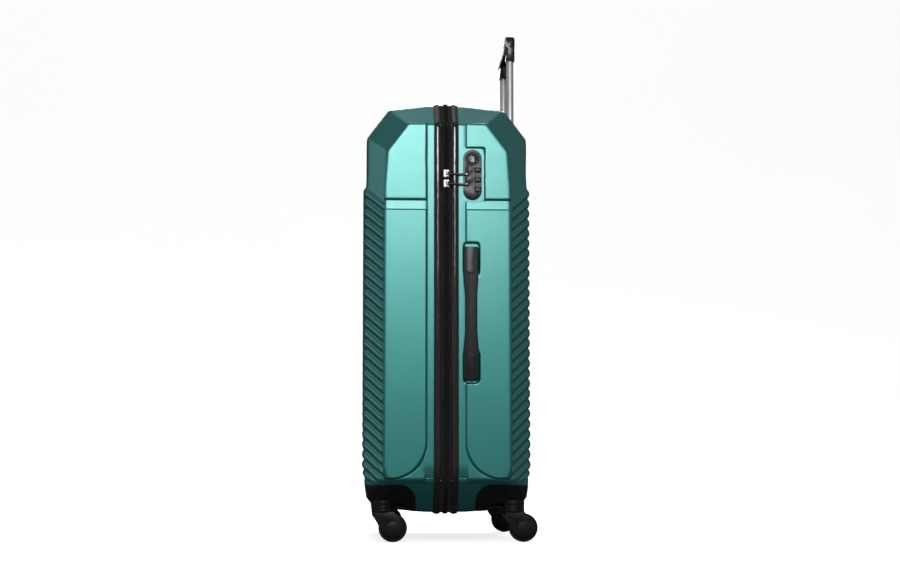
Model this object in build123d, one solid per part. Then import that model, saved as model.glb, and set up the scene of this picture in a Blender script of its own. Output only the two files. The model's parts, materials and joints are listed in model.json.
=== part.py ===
from build123d import *
import math
import os

# Hard shell suitcase on four swivel wheels, in millimetres.
# X runs through the depth of the case: the lid is on -X, the trolley side on +X.
# The lock and the side handle are on the -Y side, the fabric hinge on the +Y side.
# Z is up, the origin is on the floor under the middle of the case.

# case shells
side_half = 250.0  # flat side faces stand this far from the middle
facet_run = 40.0  # how far the bevelled facets run inwards from a side face
front_depth = 146.5
back_depth = 151.5
shell_top = 777.0
wheel_radius = 25.0
wheel_clearance = 2.0  # between a wheel and the case above it
shell_bottom = 2 * wheel_radius + wheel_clearance
wall = 2.6
rim_reach = 34.0  # flat rim beside the zip, measured from the parting plane
top_fall = 8.5  # mould draft of the top face
shoulder_run = 45.0  # cut corner between top and large face
shoulder_drop = 60.0
shoulder_side_run = 80.0  # the same corner on the side face
shoulder_side_drop = 92.0
side_face_drop = 43.0  # side face starts this far under the top
side_face_inset = 38.5  # and this far inside the large face
side_face_lift = 56.0
straight_top = 157.0  # large face runs straight below this drop
straight_bottom = 78.0
foot_run = 24.0  # lower corner of the large face
foot_rise = 6.0
toe_run = 8.0
toe_rise = 26.0
shoulder_lean = 6.0
side_foot_run = 14.0  # lower corner of the side face
side_toe_run = 4.0
side_shoulder_lean = 4.5
facet_spread = 0.4142  # a 45 degree bevel moves in this share of a wall offset
rim_corner = 14.0  # rounding of the rim where the zip goes round a bend

# strip pressed in across each side face
strip_top = 600.0
strip_height = 18.5
strip_depth = 1.2

# zip and piping
half_gap = 0.15
tape_width = 15.0
tape_thick = 0.8
coil_width = 4.0
coil_rise = 2.4
rim_setback = 9.0  # shell edges stop this far from the parting plane
piping_width = 13.0
piping_rise = 3.6

# corner guards with wheel arches
guard_thick = 3.0
guard_inner_x = 53.0
guard_inner_y = side_half - 87.0
guard_top = shell_bottom + 46.0
guard_round = 28.0
arch_top = shell_bottom + 15.0
arch_steps = ((50.0, 15.0), (44.0, 6.0), (32.0, 0.0))  # radius, and drop below the arch top

# casters
caster_inset = 45.0  # swivel axis inside the side face
caster_front_x = 109.5
caster_back_x = 120.0
wheel_width = 20.0
tyre_thick = 4.0
trail = 17.5
fork_width = 29.0
fork_top = shell_bottom + 0.6
fork_plate_radius = 19.2
fork_end_radius = 17.6
fork_gap = 0.8
fork_plate_thick = 5.0
housing_radius = 19.75
housing_bottom = fork_top + 0.3
housing_grooves = (housing_bottom + 5.0, housing_bottom + 10.0)
groove_size = 1.0
seat_gap = 0.2
stem_radius = 5.0
running_gap = 0.06
fit_gap = 0.03  # pieces that are pressed together
axle_radius = 3.0
axle_cap_thick = 1.5
hub_radius = 11.0
hub_dish_depth = 4.0
hub_rim = 3.0
tyre_round = 2.5

# trolley
trolley_x = 128.5
trolley_half = 74.0
slide_gap = 0.08
tube_wall = 1.0
middle_tube_radius = 8.1
inner_tube_radius = middle_tube_radius - 1.5
outer_tube_radius = middle_tube_radius + 1.4
collar_radius = outer_tube_radius + 3.0
collar_top = shell_top - 33.0
collar_gap = 0.3
bezel_thick = 2.5
bezel_half = 96.0
bezel_front = collar_radius + 6.5
bezel_back = collar_radius + 1.5
outer_tube_top = collar_top - 22.0
outer_tube_bottom = shell_bottom + 40.0
middle_tube_bottom = 300.0
middle_tube_top = collar_top + 2.0
inner_tube_bottom = 500.0
grip_top = shell_top + 160.0
grip_front_x = 114.0
grip_back_x = 137.0
grip_bar_height = 21.0
grip_socket_bottom = grip_top - 45.0
grip_socket_half = inner_tube_radius + 2.9
tube_seat_top = grip_top - 25.0
trim_thick = 2.0
trim_border = 2.0
channel_bottom = grip_top - 17.0
channel_top = grip_top - 9.0
channel_half_depth = 4.5
rod_radius = 2.0
button_length = 34.0
button_width = 12.0
button_rise = 1.5
button_travel = 3.0
bracket_front_x = 117.0
bracket_height = 12.0
bracket_half = 90.0
bracket_drop = 4.0  # lower bracket stands this far under the tube ends
bracket_gap = 1.0
upper_bracket_z = shell_top - 87.0

# lock
lock_x = 46.0
lock_z = 644.3
lock_width = 33.0
lock_length = 90.0
lock_face = side_half + 1.6
lock_back = side_half - 17.0
lock_gap = 0.25
lock_pocket_depth = 3.0
lock_seat_margins = (1.0, 6.0, 3.0, 4.0)  # towards the zip, the back, the floor and the top
lock_wall = 2.0
dial_pitch = 17.6
dial_middle_z = 634.9
dial_x = 55.8
dial_radius = 8.6
dial_thick = 9.0
dial_axis_y = side_half - 5.4
dial_room = 0.8
dial_gap = 0.2
shaft_radius = 1.5
shaft_overrun = (1.6, 1.42)  # below and above the middle dial, in dial pitches
lug_thick = 2.4
button_x = 46.6
button_z = 671.4
button_radius = 11.0
key_radius = 7.4
key_sink = 1.0
key_depth = 9.0
button_gap = 0.1
button_depth = 5.0
lug_half_width = 3.0
tip_hole_radius = 2.6

# zip sliders
slider_z = (644.8, 626.9)
slider_width = 11.0
slider_length = 15.0
puller_reach = 36.0
puller_radius = 1.5
slider_gap = 0.3
slider_thick = 2.2
slider_round = 3.0
puller_pin = (1.5, 2.8)  # pin of a puller: across the zip, and out from the slider
pin_radius = 1.0
pin_lug = (2.2, 2.0, 3.2)  # half width, thickness, and distance from the middle
puller_eye_radius = 2.4

# carry handles
handle_length = 235.0
handle_end_width = 26.4
handle_waist = 21.6
handle_end_length = 56.0
handle_rise = {"side": 12.0, "top": 14.5}
handle_thick = 6.5
handle_pocket = 4.0
handle_lift = 10.0
handle_x = 43.0
handle_z = 398.6
top_handle_x = 68.0
handle_foot = 2.5  # grip ends stand this far above the pocket floor
handle_end_height = 6.5
handle_slope = 20.0  # length over which an end rises to the waist
handle_base_gap = 0.3
cap_length = 48.0  # from the handle end to the round end of its cap
cap_width = 14.6
cap_depth = 2.0
guide_radius = 3.0
guide_head = 2.2
guide_head_thick = 2.0
guide_reserve = 3.0
guide_gap = 0.3
seat_margin = 4.0
guide_spacing = 190.0

# lining and straps
lining_gap = 6.4
lining_thick = 1.2
lining_side = side_half - 24.0  # clears the lock and the handle guides
lining_low = shell_bottom + 28.0
lining_high = shell_top - 27.0
lining_back_x = trolley_x - collar_radius
lining_edge = 12.0
strap_width = 25.0
strap_thick = 1.5
strap_x = 20.0
strap_rise = 150.0
strap_middle_z = 400.0
buckle_size = (7.0, 36.0, 52.0)
hinge_strip_reach = 30.0
hinge_strip_thick = 1.2
hinge_strip_z = (shell_bottom + 68.0, shell_top - 57.0)

# screws
screw_radius = 1.6
screw_head_radius = 2.6
screw_head_height = 2.0
caster_screw_circle = 10.5
caster_screw_angles = (45, 135, 225)
caster_screw_length = 10.0
screw_end_gap = 0.5

slack = 40.0  # spare length for cutting tools
far = 2000.0  # beyond the whole case on any side
os.makedirs("parts", exist_ok=True)


def save(name, *solids):
    shape = solids[0] if len(solids) == 1 else Compound(children=list(solids))
    export_step(shape, f"parts/{name}.step")


def inset(points, distance):
    """Moves every edge of a counter-clockwise outline inwards by the same distance."""
    moved = []
    count = len(points)
    for i in range(count):
        ax, ay = points[i - 1]
        bx, by = points[i]
        cx, cy = points[(i + 1) % count]
        first = math.atan2(by - ay, bx - ax)
        second = math.atan2(cy - by, cx - bx)
        half = (second - first) / 2
        middle = first + half + math.pi / 2
        reach = distance / math.cos(half)
        moved.append((bx + reach * math.cos(middle), by + reach * math.sin(middle)))
    return moved


def body_points(depth):
    """Outline of a half case along most of its width, with x pointing outwards."""
    return [
        (-slack, shell_bottom),
        (rim_reach, shell_bottom),
        (depth - foot_run, shell_bottom + foot_rise),
        (depth - toe_run, shell_bottom + toe_rise),
        (depth, shell_bottom + straight_bottom),
        (depth, shell_top - straight_top),
        (depth - shoulder_lean, shell_top - shoulder_drop),
        (depth - shoulder_run, shell_top - top_fall),
        (rim_reach, shell_top),
        (-slack, shell_top),
    ]


def side_points(depth):
    """Outline of the flat side face."""
    low = shell_bottom + side_face_lift
    high = shell_top - side_face_drop
    edge = depth - side_face_inset
    return [
        (-slack, low),
        (rim_reach, low),
        (edge - side_foot_run, low),
        (edge - side_toe_run, low + foot_rise),
        (edge, shell_bottom + straight_bottom),
        (edge, shell_top - straight_top),
        (edge - side_shoulder_lean, shell_top - shoulder_side_drop),
        (depth - shoulder_side_run, high),
        (rim_reach, high),
        (-slack, high),
    ]


def face_at(points, level):
    return Face(Wire.make_polygon([Vector(x, level, z) for x, z in points]))


def form(depth, distance):
    """Solid shape of a half case whose faces lie the given distance inside the skin."""
    spread = facet_spread * distance
    inner = side_half - facet_run - spread
    outer = side_half - distance
    body = inset(body_points(depth), distance)
    side = inset(side_points(depth), spread)
    middle = extrude(face_at(body, -inner), 2 * inner, dir=(0, 1, 0))
    near = Solid.make_loft([face_at(side, -outer).outer_wire(), face_at(body, -inner).outer_wire()], True)
    far = Solid.make_loft([face_at(body, inner).outer_wire(), face_at(side, outer).outer_wire()], True)
    return middle + near + far


def block(x0, x1, y0, y1, z0, z1):
    return Pos((x0 + x1) / 2, (y0 + y1) / 2, (z0 + z1) / 2) * Box(x1 - x0, y1 - y0, z1 - z0)


def upright(radius, x, y, z0, z1):
    return Pos(x, y, (z0 + z1) / 2) * Cylinder(radius, z1 - z0)


def across(radius, x, z, y0, y1):
    return Pos(x, (y0 + y1) / 2, z) * Rot(90, 0, 0) * Cylinder(radius, y1 - y0)


def guard_block(depth, grow):
    """Corner region that a guard covers on the -Y side."""
    centre = Pos((guard_inner_x + depth + slack) / 2, guard_top / 2)
    outline = Plane.XZ * centre * Rectangle(depth + slack - guard_inner_x, guard_top)
    region = extrude(outline, side_half + slack - guard_inner_y)
    region = Pos(0, -guard_inner_y, 0) * region
    edge = region.edges().filter_by(Axis.Y).sort_by(lambda e: e.center().Z * 10 - e.center().X)[-1]
    region = fillet(edge, guard_round)
    if grow:
        region = offset(region, grow, kind=Kind.INTERSECTION)
    return region


def both_sides(shape):
    return shape + mirror(shape, Plane.XZ)


def arch(caster_x, grow):
    """Room over a caster: a low dome, grown by the same distance all round."""
    points = [(0, 0), (arch_steps[0][0] + grow, 0)]
    for radius, drop in arch_steps:
        points.append((radius + grow, arch_top + grow - drop))
    points.append((0, arch_top + grow))
    face = Face(Wire.make_polygon([Vector(x, 0, z) for x, z in points]))
    return Pos(caster_x, -(side_half - caster_inset), 0) * revolve(face, Axis.Z)


def rim_outline(distance):
    """Face of the case outline in the parting plane, moved outwards by a distance."""
    high = shell_top - side_face_drop
    low = shell_bottom + side_face_lift
    flat = side_half - facet_run
    points = [
        (-flat, shell_bottom),
        (flat, shell_bottom),
        (side_half, low),
        (side_half, high),
        (flat, shell_top),
        (-flat, shell_top),
        (-side_half, high),
        (-side_half, low),
    ]
    wire = Wire.make_polygon([Vector(0, y, z) for y, z in inset(points, -distance)])
    return Face(wire.fillet_2d(rim_corner + distance, wire.vertices()))


def rim_ring(low, high, x0, x1):
    """Ring round the case between two distances from its outline and two depths."""
    ring = Pos(x0, 0, 0) * (rim_outline(high) - rim_outline(low))
    return extrude(ring, x1 - x0, dir=(1, 0, 0))


def stadium(width, length, x, z, y0, y1):
    shape = Plane.XZ * Pos(x, z) * Rot(0, 0, 90) * SlotOverall(length, width)
    return Pos(0, y1, 0) * extrude(shape, y1 - y0)


def half_shell(depth, caster_x):
    """Vacuum-formed half case, open at the parting plane, with seats for its guards."""
    region = both_sides(guard_block(depth, 0))
    region_inner = both_sides(guard_block(depth, wall))
    arches = both_sides(arch(caster_x, guard_thick))
    arches_inner = both_sides(arch(caster_x, guard_thick + wall))
    outside = form(depth, 0) - region
    outside += (form(depth, guard_thick) - arches) & region
    inside = form(depth, wall) - region_inner
    inside += (form(depth, guard_thick + wall) - arches_inner) & region_inner
    shell = outside - inside
    shell -= block(-2 * slack, rim_setback, -far, far, 0, far)
    collar = block(0, rim_reach, -far, far, 0, far)
    collar -= extrude(rim_outline(0), rim_reach, dir=(1, 0, 0))
    shell -= collar
    strip_end = depth - side_face_inset + slack
    for side in (-1, 1):
        y0, y1 = sorted((side * (side_half - strip_depth), side * (side_half + slack)))
        shell -= block(rim_reach, strip_end, y0, y1, strip_top - strip_height, strip_top)
        y = side * (side_half - caster_inset)
        shell -= upright(housing_radius + seat_gap, caster_x, y, arch_top, arch_top + 3 * wall)
    return shell


def caster_screw_places(caster_x, sides):
    return [
        (
            caster_x + caster_screw_circle * math.cos(math.radians(angle)),
            side * (side_half - caster_inset - caster_screw_circle * math.sin(math.radians(angle))),
        )
        for side in sides
        for angle in caster_screw_angles
    ]


def corner_guard(depth, caster_x):
    """Moulded corner guard on the -Y side, with the wheel arch and the swivel housing."""
    skin = form(depth, 0) - (form(depth, guard_thick) - arch(caster_x, guard_thick))
    guard = (skin & guard_block(depth, 0)) - arch(caster_x, 0)
    y = -(side_half - caster_inset)
    seat = arch_top + guard_thick + wall
    guard += upright(housing_radius, caster_x, y, housing_bottom, seat)
    guard -= upright(stem_radius + running_gap, caster_x, y, 0, arch_top + slack)
    for level in housing_grooves:
        ring = upright(housing_radius + 1, caster_x, y, level, level + groove_size)
        guard -= ring - upright(housing_radius - groove_size, caster_x, y, level, level + groove_size)
    for x, screw_y in caster_screw_places(caster_x, (-1,)):
        guard -= upright(screw_radius, x, screw_y, seat - caster_screw_length, seat)
    return guard


def caster_fork(x, y):
    """Fork that swivels about its stem and carries the wheel on its trailing side."""
    axle_x = x + trail
    plate = Pos(x, fork_top - fork_plate_thick / 2) * Rectangle(2 * fork_plate_radius, fork_plate_thick)
    boss = Pos(axle_x, wheel_radius) * Circle(fork_end_radius)
    outline = make_hull(plate.edges() + boss.edges())
    fork = Pos(0, y + fork_width / 2, 0) * extrude(Plane.XZ * outline, fork_width)
    cheeks = (y - fork_width / 2, y + fork_width / 2)
    room = upright(fork_plate_radius, x, y, 0, fork_top)
    room += block(x, x + 2 * slack, *cheeks, 0, fork_top)
    room += block(x - slack, x + slack, *cheeks, 0, fork_top - fork_plate_thick)
    fork &= room
    pocket = wheel_width / 2 + fork_gap
    fork -= across(wheel_radius + fork_gap, axle_x, wheel_radius, y - pocket, y + pocket)
    fork -= block(axle_x, axle_x + 2 * slack, y - pocket, y + pocket, 0, fork_top - 2)
    fork -= across(axle_radius, axle_x, wheel_radius, y - fork_width, y + fork_width)
    fork += upright(stem_radius, x, y, fork_top - 2, arch_top + guard_thick + wall + 2)
    return fork


def caster_wheel(x, y):
    """Hub, tyre and axle of one wheel. The axle stays in the fork."""
    axle_x = x + trail
    half = wheel_width / 2
    hub = across(wheel_radius - tyre_thick - fit_gap, axle_x, wheel_radius, y - half + 1, y + half - 1)
    for side in (-1, 1):
        y0, y1 = sorted((y + side * (half - hub_dish_depth), y + side * half))
        dish = across(wheel_radius - tyre_thick - hub_rim, axle_x, wheel_radius, y0, y1)
        hub -= dish - across(hub_radius - 2, axle_x, wheel_radius, y0, y1)
    hub -= across(axle_radius + running_gap, axle_x, wheel_radius, y - half, y + half)
    tyre = across(wheel_radius, axle_x, wheel_radius, y - half, y + half)
    tyre -= across(wheel_radius - tyre_thick, axle_x, wheel_radius, y - half, y + half)
    outer = tyre.edges().filter_by(GeomType.CIRCLE).filter_by(lambda e: e.radius > wheel_radius - 0.1)
    tyre = fillet(outer, tyre_round)
    end = fork_width / 2
    axle = across(axle_radius, axle_x, wheel_radius, y - end, y + end)
    for side in (-1, 1):
        y0, y1 = sorted((y + side * end, y + side * (end + axle_cap_thick)))
        axle += across(hub_radius, axle_x, wheel_radius, y0, y1)
    return hub, tyre, axle


def handle_parts(place, rise):
    """Carry handle in a local frame: length along X, width along Y, Z away from the case."""
    half = handle_length / 2
    end = half - handle_end_length
    low = -handle_pocket + handle_foot
    under = rise - handle_thick
    flat = low + handle_end_height
    foot = end + 0.3 * handle_slope
    waist = foot - handle_slope
    side = Polyline((-half, low), (-foot, low), (-waist, under), (waist, under), (foot, low), (half, low))
    crown = ThreePointArc((half, flat), (0, rise), (-half, flat))
    outline = make_face(side + Line((half, low), (half, flat)) + crown + Line((-half, flat), (-half, low)))
    grip = Pos(0, handle_end_width / 2, 0) * extrude(Plane.XZ * outline, handle_end_width)
    plan = Rectangle(handle_length, handle_end_width) - Rectangle(2 * end, handle_end_width)
    plan += Rectangle(2 * end + 2, handle_waist)
    grip &= Pos(0, 0, -slack) * extrude(plan, 2 * slack)
    caps = []
    bases = []
    for sign in (-1, 1):
        plan = Pos(sign * half, 0) * SlotOverall(2 * cap_length, cap_width)
        slot = extrude(plan, slack)
        cap = slot & extrude(Plane.XZ * outline, handle_end_width, both=True)
        cap &= Pos(sign * half, 0, flat + slack / 2 - cap_depth) * Box(4 * slack, handle_end_width, slack)
        grip -= cap
        caps.append(cap)
        x = sign * guide_spacing / 2
        guide_end = -wall - handle_pocket - handle_lift - guide_reserve
        guide = upright(guide_radius, x, 0, guide_end, low + 2)
        guide += upright(guide_radius + guide_head, x, 0, guide_end, guide_end + guide_head_thick)
        grip += guide
        base_top = low - handle_base_gap
        base = Box(handle_end_length, handle_end_width, base_top + handle_pocket)
        base = Pos(sign * (half - handle_end_length / 2), 0, (base_top - handle_pocket) / 2) * base
        base -= upright(guide_radius + guide_gap, x, 0, -slack, slack)
        bases.append(base)
    return [place * part for part in (grip, *caps, *bases)]


def handle_seat(place, shell):
    """Pockets, pads and guide holes for a carry handle in a shell."""
    half = handle_length / 2
    for sign in (-1, 1):
        middle = sign * (half - handle_end_length / 2)
        centre = middle + sign * seat_margin / 2
        recess_size = (handle_end_length + 2 * seat_margin, handle_end_width + 1.25 * seat_margin)
        pad = Box(recess_size[0] + 2 * wall, recess_size[1] + 2 * wall, handle_pocket + wall)
        recess = Box(*recess_size, handle_pocket + slack)
        shell += place * Pos(centre, 0, -(handle_pocket + wall) / 2) * pad
        shell -= place * Pos(centre, 0, (slack - handle_pocket) / 2) * recess
        shell -= place * upright(guide_radius + guide_gap, sign * guide_spacing / 2, 0, -slack, slack)
    return shell


def flip(shape):
    """Turns a part of the trolley side into the matching part of the lid."""
    return mirror(shape, Plane.YZ)


# shells, guards and casters
side_place = Plane(origin=(handle_x, -side_half, handle_z), x_dir=(0, 0, 1), z_dir=(0, -1, 0)).location
top_fall_angle = math.degrees(math.atan2(top_fall, back_depth - shoulder_run - rim_reach))
top_fall_here = (top_handle_x - rim_reach) * math.tan(math.radians(top_fall_angle))
top_place = Plane(
    origin=(top_handle_x, 0, shell_top - top_fall_here),
    x_dir=(0, 1, 0),
    z_dir=(math.sin(math.radians(top_fall_angle)), 0, math.cos(math.radians(top_fall_angle))),
).location

back_shell = half_shell(back_depth, caster_back_x)
front_shell = half_shell(front_depth, caster_front_x)
back_shell = handle_seat(side_place, back_shell)
back_shell = handle_seat(top_place, back_shell)

# lock seat: a pressed pocket with the lock opening in its floor
floor = side_half - lock_pocket_depth
for grow, y0, y1 in ((wall, -side_half, -floor + wall), (0, -side_half - 1, -floor)):
    seat = block(
        lock_x - lock_width / 2 - lock_seat_margins[0] - grow,
        lock_x + lock_width / 2 + lock_seat_margins[1] + grow,
        y0,
        y1,
        lock_z - lock_length / 2 - lock_seat_margins[2] - grow,
        lock_z + lock_length / 2 + lock_seat_margins[3] + grow,
    )
    back_shell = back_shell + seat if grow else back_shell - seat
lock_hole = (lock_width + 2 * lock_gap, lock_length + 2 * lock_gap)
back_shell -= stadium(*lock_hole, lock_x, lock_z, -side_half - 1, -lock_back + slack)

for i in (-1, 0, 1):
    z = dial_middle_z + i * dial_pitch
    reach = dial_thick / 2 + dial_room
    back_shell -= upright(dial_radius + dial_room, dial_x, -dial_axis_y, z - reach, z + reach)

# openings for the trolley tubes in the cut corner
for side in (-1, 1):
    passage = upright(collar_radius + collar_gap, trolley_x, side * trolley_half, upper_bracket_z, shell_top)
    back_shell -= passage

save("back_shell", back_shell)
save("front_shell", flip(front_shell))

halves = (("back", back_depth, caster_back_x), ("front", front_depth, caster_front_x))
for half_name, depth, caster_x in halves:
    near_guard = corner_guard(depth, caster_x)
    for side_name, side in (("lock_side", -1), ("hinge_side", 1)):
        guard = near_guard if side < 0 else mirror(near_guard, Plane.XZ)
        guard = guard if half_name == "back" else flip(guard)
        save(f"guard_{half_name}_{side_name}", guard)
        x = caster_x if half_name == "back" else -caster_x
        y = side * (side_half - caster_inset)
        save(f"caster_fork_{half_name}_{side_name}", caster_fork(x, y))
        hub, tyre, axle = caster_wheel(x, y)
        save(f"wheel_hub_{half_name}_{side_name}", hub)
        save(f"wheel_tyre_{half_name}_{side_name}", tyre)
        save(f"wheel_axle_{half_name}_{side_name}", axle)

    screws = []
    for x, y in caster_screw_places(caster_x, (-1, 1)):
        seat = arch_top + guard_thick + wall
        screw = upright(screw_radius, x, y, seat - caster_screw_length + screw_end_gap, seat)
        screw += upright(screw_head_radius, x, y, seat, seat + screw_head_height)
        screws.append(screw if half_name == "back" else flip(screw))
    save(f"caster_screws_{half_name}", *screws)

# piping and zip
for half_name in ("back", "front"):
    tape = rim_ring(0, tape_thick, half_gap, tape_width)
    coil = rim_ring(tape_thick, tape_thick + coil_rise, half_gap, coil_width)
    piping = rim_ring(0, piping_rise, rim_setback, rim_setback + piping_width)
    piping -= rim_ring(0, tape_thick, 0, tape_width)
    chain = tape + coil
    if half_name == "front":
        chain, piping = flip(chain), flip(piping)
    save(f"{half_name}_zip_chain", chain)
    save(f"{half_name}_piping", piping)

# zip sliders and pullers
zip_face = side_half + tape_thick + coil_rise
slider_top = zip_face + slider_gap + slider_thick
pin_x = puller_pin[0]
pin_y = -(slider_top + puller_pin[1])
tip_drop = -pin_y - lock_face - 2 * puller_radius + 2 * slider_gap  # tips lie in the lock face
for name, z in zip(("upper", "lower"), slider_z):
    half = slider_length / 2
    slider_half = slider_width / 2
    body = block(-slider_half, slider_half, -slider_top, slider_thick - slider_top, z - half, z + half)
    body = fillet(body.edges().filter_by(Axis.Y), slider_round)
    lug_half, lug_size, lug_from = pin_lug
    for end in (-1, 1):
        z0, z1 = sorted((z + end * lug_from, z + end * (lug_from + lug_size)))
        body += block(pin_x - lug_half, pin_x + lug_half, pin_y - 1.6 * pin_radius, 1 - slider_top, z0, z1)
    body += upright(pin_radius, pin_x, pin_y, z - lug_from - 1, z + lug_from + 1)
    save(f"zip_slider_{name}", body)
    rod = Pos(pin_x + puller_reach / 2, pin_y, z) * Rot(0, 90, 0) * Cylinder(puller_radius, puller_reach)
    eye = upright(puller_eye_radius, pin_x, pin_y, z - lug_from + 0.6, z + lug_from - 0.6)
    tip_end = Cylinder(puller_eye_radius, 2 * puller_radius)
    tip = Pos(pin_x + puller_reach, pin_y, z) * Rot(90, 0, 0) * tip_end
    puller = rod + eye + tip - upright(pin_radius + running_gap, pin_x, pin_y, z - 5, z + 5)
    lean = math.degrees(math.asin(tip_drop / puller_reach))
    puller = Pos(pin_x, pin_y, z) * Rot(0, 0, lean) * Pos(-pin_x, -pin_y, -z) * puller
    save(f"zip_puller_{name}", puller)

# lock
lock_case = stadium(lock_width, lock_length, lock_x, lock_z, -lock_face, -lock_back)
room_width, room_length = lock_width - 2 * lock_wall, lock_length - 2 * lock_wall
lock_case -= stadium(room_width, room_length, lock_x, lock_z, -lock_face + lock_wall, -lock_back + lock_wall)
button_room = button_radius + button_gap
button_hole = across(button_room, button_x, button_z, -lock_face - 1, -lock_face + lock_wall + 1)
lock_case -= button_hole
for i in (-1, 0, 1):
    z = dial_middle_z + i * dial_pitch
    half = dial_thick / 2
    room = half + dial_gap
    lock_case -= upright(dial_radius + 2 * dial_gap, dial_x, -dial_axis_y, z - room, z + room)
    dial = upright(dial_radius, dial_x, -dial_axis_y, z - half, z + half)
    dial -= upright(shaft_radius + running_gap, dial_x, -dial_axis_y, z - dial_thick, z + dial_thick)
    save(f"lock_dial_{i + 2}", dial)
shaft_low = dial_middle_z - shaft_overrun[0] * dial_pitch
shaft_high = dial_middle_z + shaft_overrun[1] * dial_pitch
for low in (shaft_low, shaft_high - lug_thick):
    lug = (dial_x - lug_half_width, dial_x + lug_half_width, -lock_face + 1.5, -dial_axis_y + lug_half_width)
    lock_case += block(*lug, low, low + lug_thick)
shaft = upright(shaft_radius, dial_x, -dial_axis_y, shaft_low, shaft_high)
lock_case -= shaft
for z in slider_z:
    lock_case -= across(tip_hole_radius, pin_x + puller_reach, z, -lock_face - 1, -lock_face + 1)
save("lock_case", lock_case)
save("lock_dial_shaft", shaft)
button = across(button_radius, button_x, button_z, -lock_face, -lock_face + button_depth)
flange = across(button_radius + 1.5, button_x, button_z, lock_wall + 0.3 - lock_face, button_depth - lock_face)
button += flange
button -= across(key_radius + running_gap, button_x, button_z, -lock_face - 1, -lock_back)
save("lock_release_button", button)
key_plug = across(key_radius, button_x, button_z, -lock_face + key_sink, -lock_face + key_depth)
slot_half = (0.8, 3.5)
key_plug -= block(
    button_x - slot_half[0],
    button_x + slot_half[0],
    -lock_face,
    -lock_face + 6,
    button_z - slot_half[1],
    button_z + slot_half[1],
)
save("lock_key_plug", key_plug)

# carry handles
for name, place in (("side", side_place), ("top", top_place)):
    grip, cap_a, cap_b, base_a, base_b = handle_parts(place, handle_rise[name])
    save(f"{name}_handle_grip", grip)
    save(f"{name}_handle_caps", cap_a, cap_b)
    save(f"{name}_handle_bases", base_a, base_b)


# trolley tubes, from the fixed outer pair to the inner pair that carries the grip
outer_tubes = []
middle_tubes = []
inner_tubes = []
for side in (-1, 1):
    y = side * trolley_half
    outer_tube = upright(outer_tube_radius, trolley_x, y, outer_tube_bottom, outer_tube_top)
    outer_tube -= upright(middle_tube_radius + slide_gap, trolley_x, y, 0, far)
    outer_tubes.append(outer_tube)
    middle_tube = upright(middle_tube_radius, trolley_x, y, middle_tube_bottom, middle_tube_top)
    middle_tube -= upright(inner_tube_radius + slide_gap, trolley_x, y, 0, far)
    middle_tubes.append(middle_tube)
    inner_tube = upright(inner_tube_radius, trolley_x, y, inner_tube_bottom, tube_seat_top)
    inner_tube -= upright(inner_tube_radius - tube_wall, trolley_x, y, 0, far)
    inner_tubes.append(inner_tube)
save("trolley_outer_tubes", *outer_tubes)
save("trolley_middle_tubes", *middle_tubes)
save("trolley_inner_tubes", *inner_tubes)

# brackets that tie the outer tubes to the shell, and the bezel they come out through
lower_bracket = block(
    bracket_front_x,
    back_depth - toe_run - wall - bracket_gap,
    -bracket_half,
    bracket_half,
    outer_tube_bottom - bracket_drop,
    outer_tube_bottom + bracket_height - bracket_drop,
)
upper_bracket = block(
    bracket_front_x,
    back_depth - shoulder_lean - wall + bracket_gap / 2,
    -bracket_half,
    bracket_half,
    upper_bracket_z - bracket_height,
    upper_bracket_z,
)
bezel_low_x = trolley_x - bezel_front
bezel_high_x = trolley_x + bezel_back
bezel_zone = block(bezel_low_x, bezel_high_x, -bezel_half, bezel_half, upper_bracket_z, shell_top)
bezel = (form(back_depth, -bezel_thick) - form(back_depth, 0)) & bezel_zone
for side in (-1, 1):
    y = side * trolley_half
    lower_bracket -= upright(outer_tube_radius, trolley_x, y, outer_tube_bottom, far)
    upper_bracket -= upright(outer_tube_radius, trolley_x, y, 0, far)
    bezel += upright(collar_radius, trolley_x, y, outer_tube_top, collar_top)
    bezel -= upright(middle_tube_radius + slide_gap, trolley_x, y, 0, far)
save("trolley_lower_bracket", lower_bracket)
save("trolley_upper_bracket", upper_bracket)
save("trolley_bezel", bezel)

# grip: a hollow bar with a socket for each inner tube
grip_half = trolley_half + grip_socket_half
grip = block(
    grip_front_x, grip_back_x, -grip_half, grip_half, grip_top - grip_bar_height, grip_top
)
grip = fillet(grip.edges().filter_by(Axis.Y), 5.0)
for side in (-1, 1):
    y = side * trolley_half
    socket = block(
        trolley_x - grip_socket_half + 1,
        trolley_x + grip_socket_half - 1,
        y - grip_socket_half,
        y + grip_socket_half,
        grip_socket_bottom,
        grip_top - grip_bar_height / 2,
    )
    grip += fillet(socket.edges().filter_by(Axis.Z), 4.0)
for side in (-1, 1):
    y = side * trolley_half
    grip -= upright(inner_tube_radius, trolley_x, y, 0, tube_seat_top)
    grip -= upright(rod_radius + 1.0, trolley_x, y, 0, channel_top)
channel = block(
    trolley_x - channel_half_depth,
    trolley_x + channel_half_depth,
    -trolley_half - 4,
    trolley_half + 4,
    channel_bottom,
    channel_top,
)
grip -= channel
grip -= block(
    trolley_x - button_width / 2 - 0.3,
    trolley_x + button_width / 2 + 0.3,
    -button_length / 2 - 0.3,
    button_length / 2 + 0.3,
    channel_top - button_travel - 1.0,
    grip_top + 1,
)
trim = block(
    grip_front_x,
    grip_front_x + trim_thick,
    -grip_half + 3 * trim_border,
    grip_half - 3 * trim_border,
    grip_top - grip_bar_height + 5.0,
    grip_top - 5.0,
)
grip -= trim
save("trolley_grip", grip)
save("trolley_grip_trim", trim)

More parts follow.
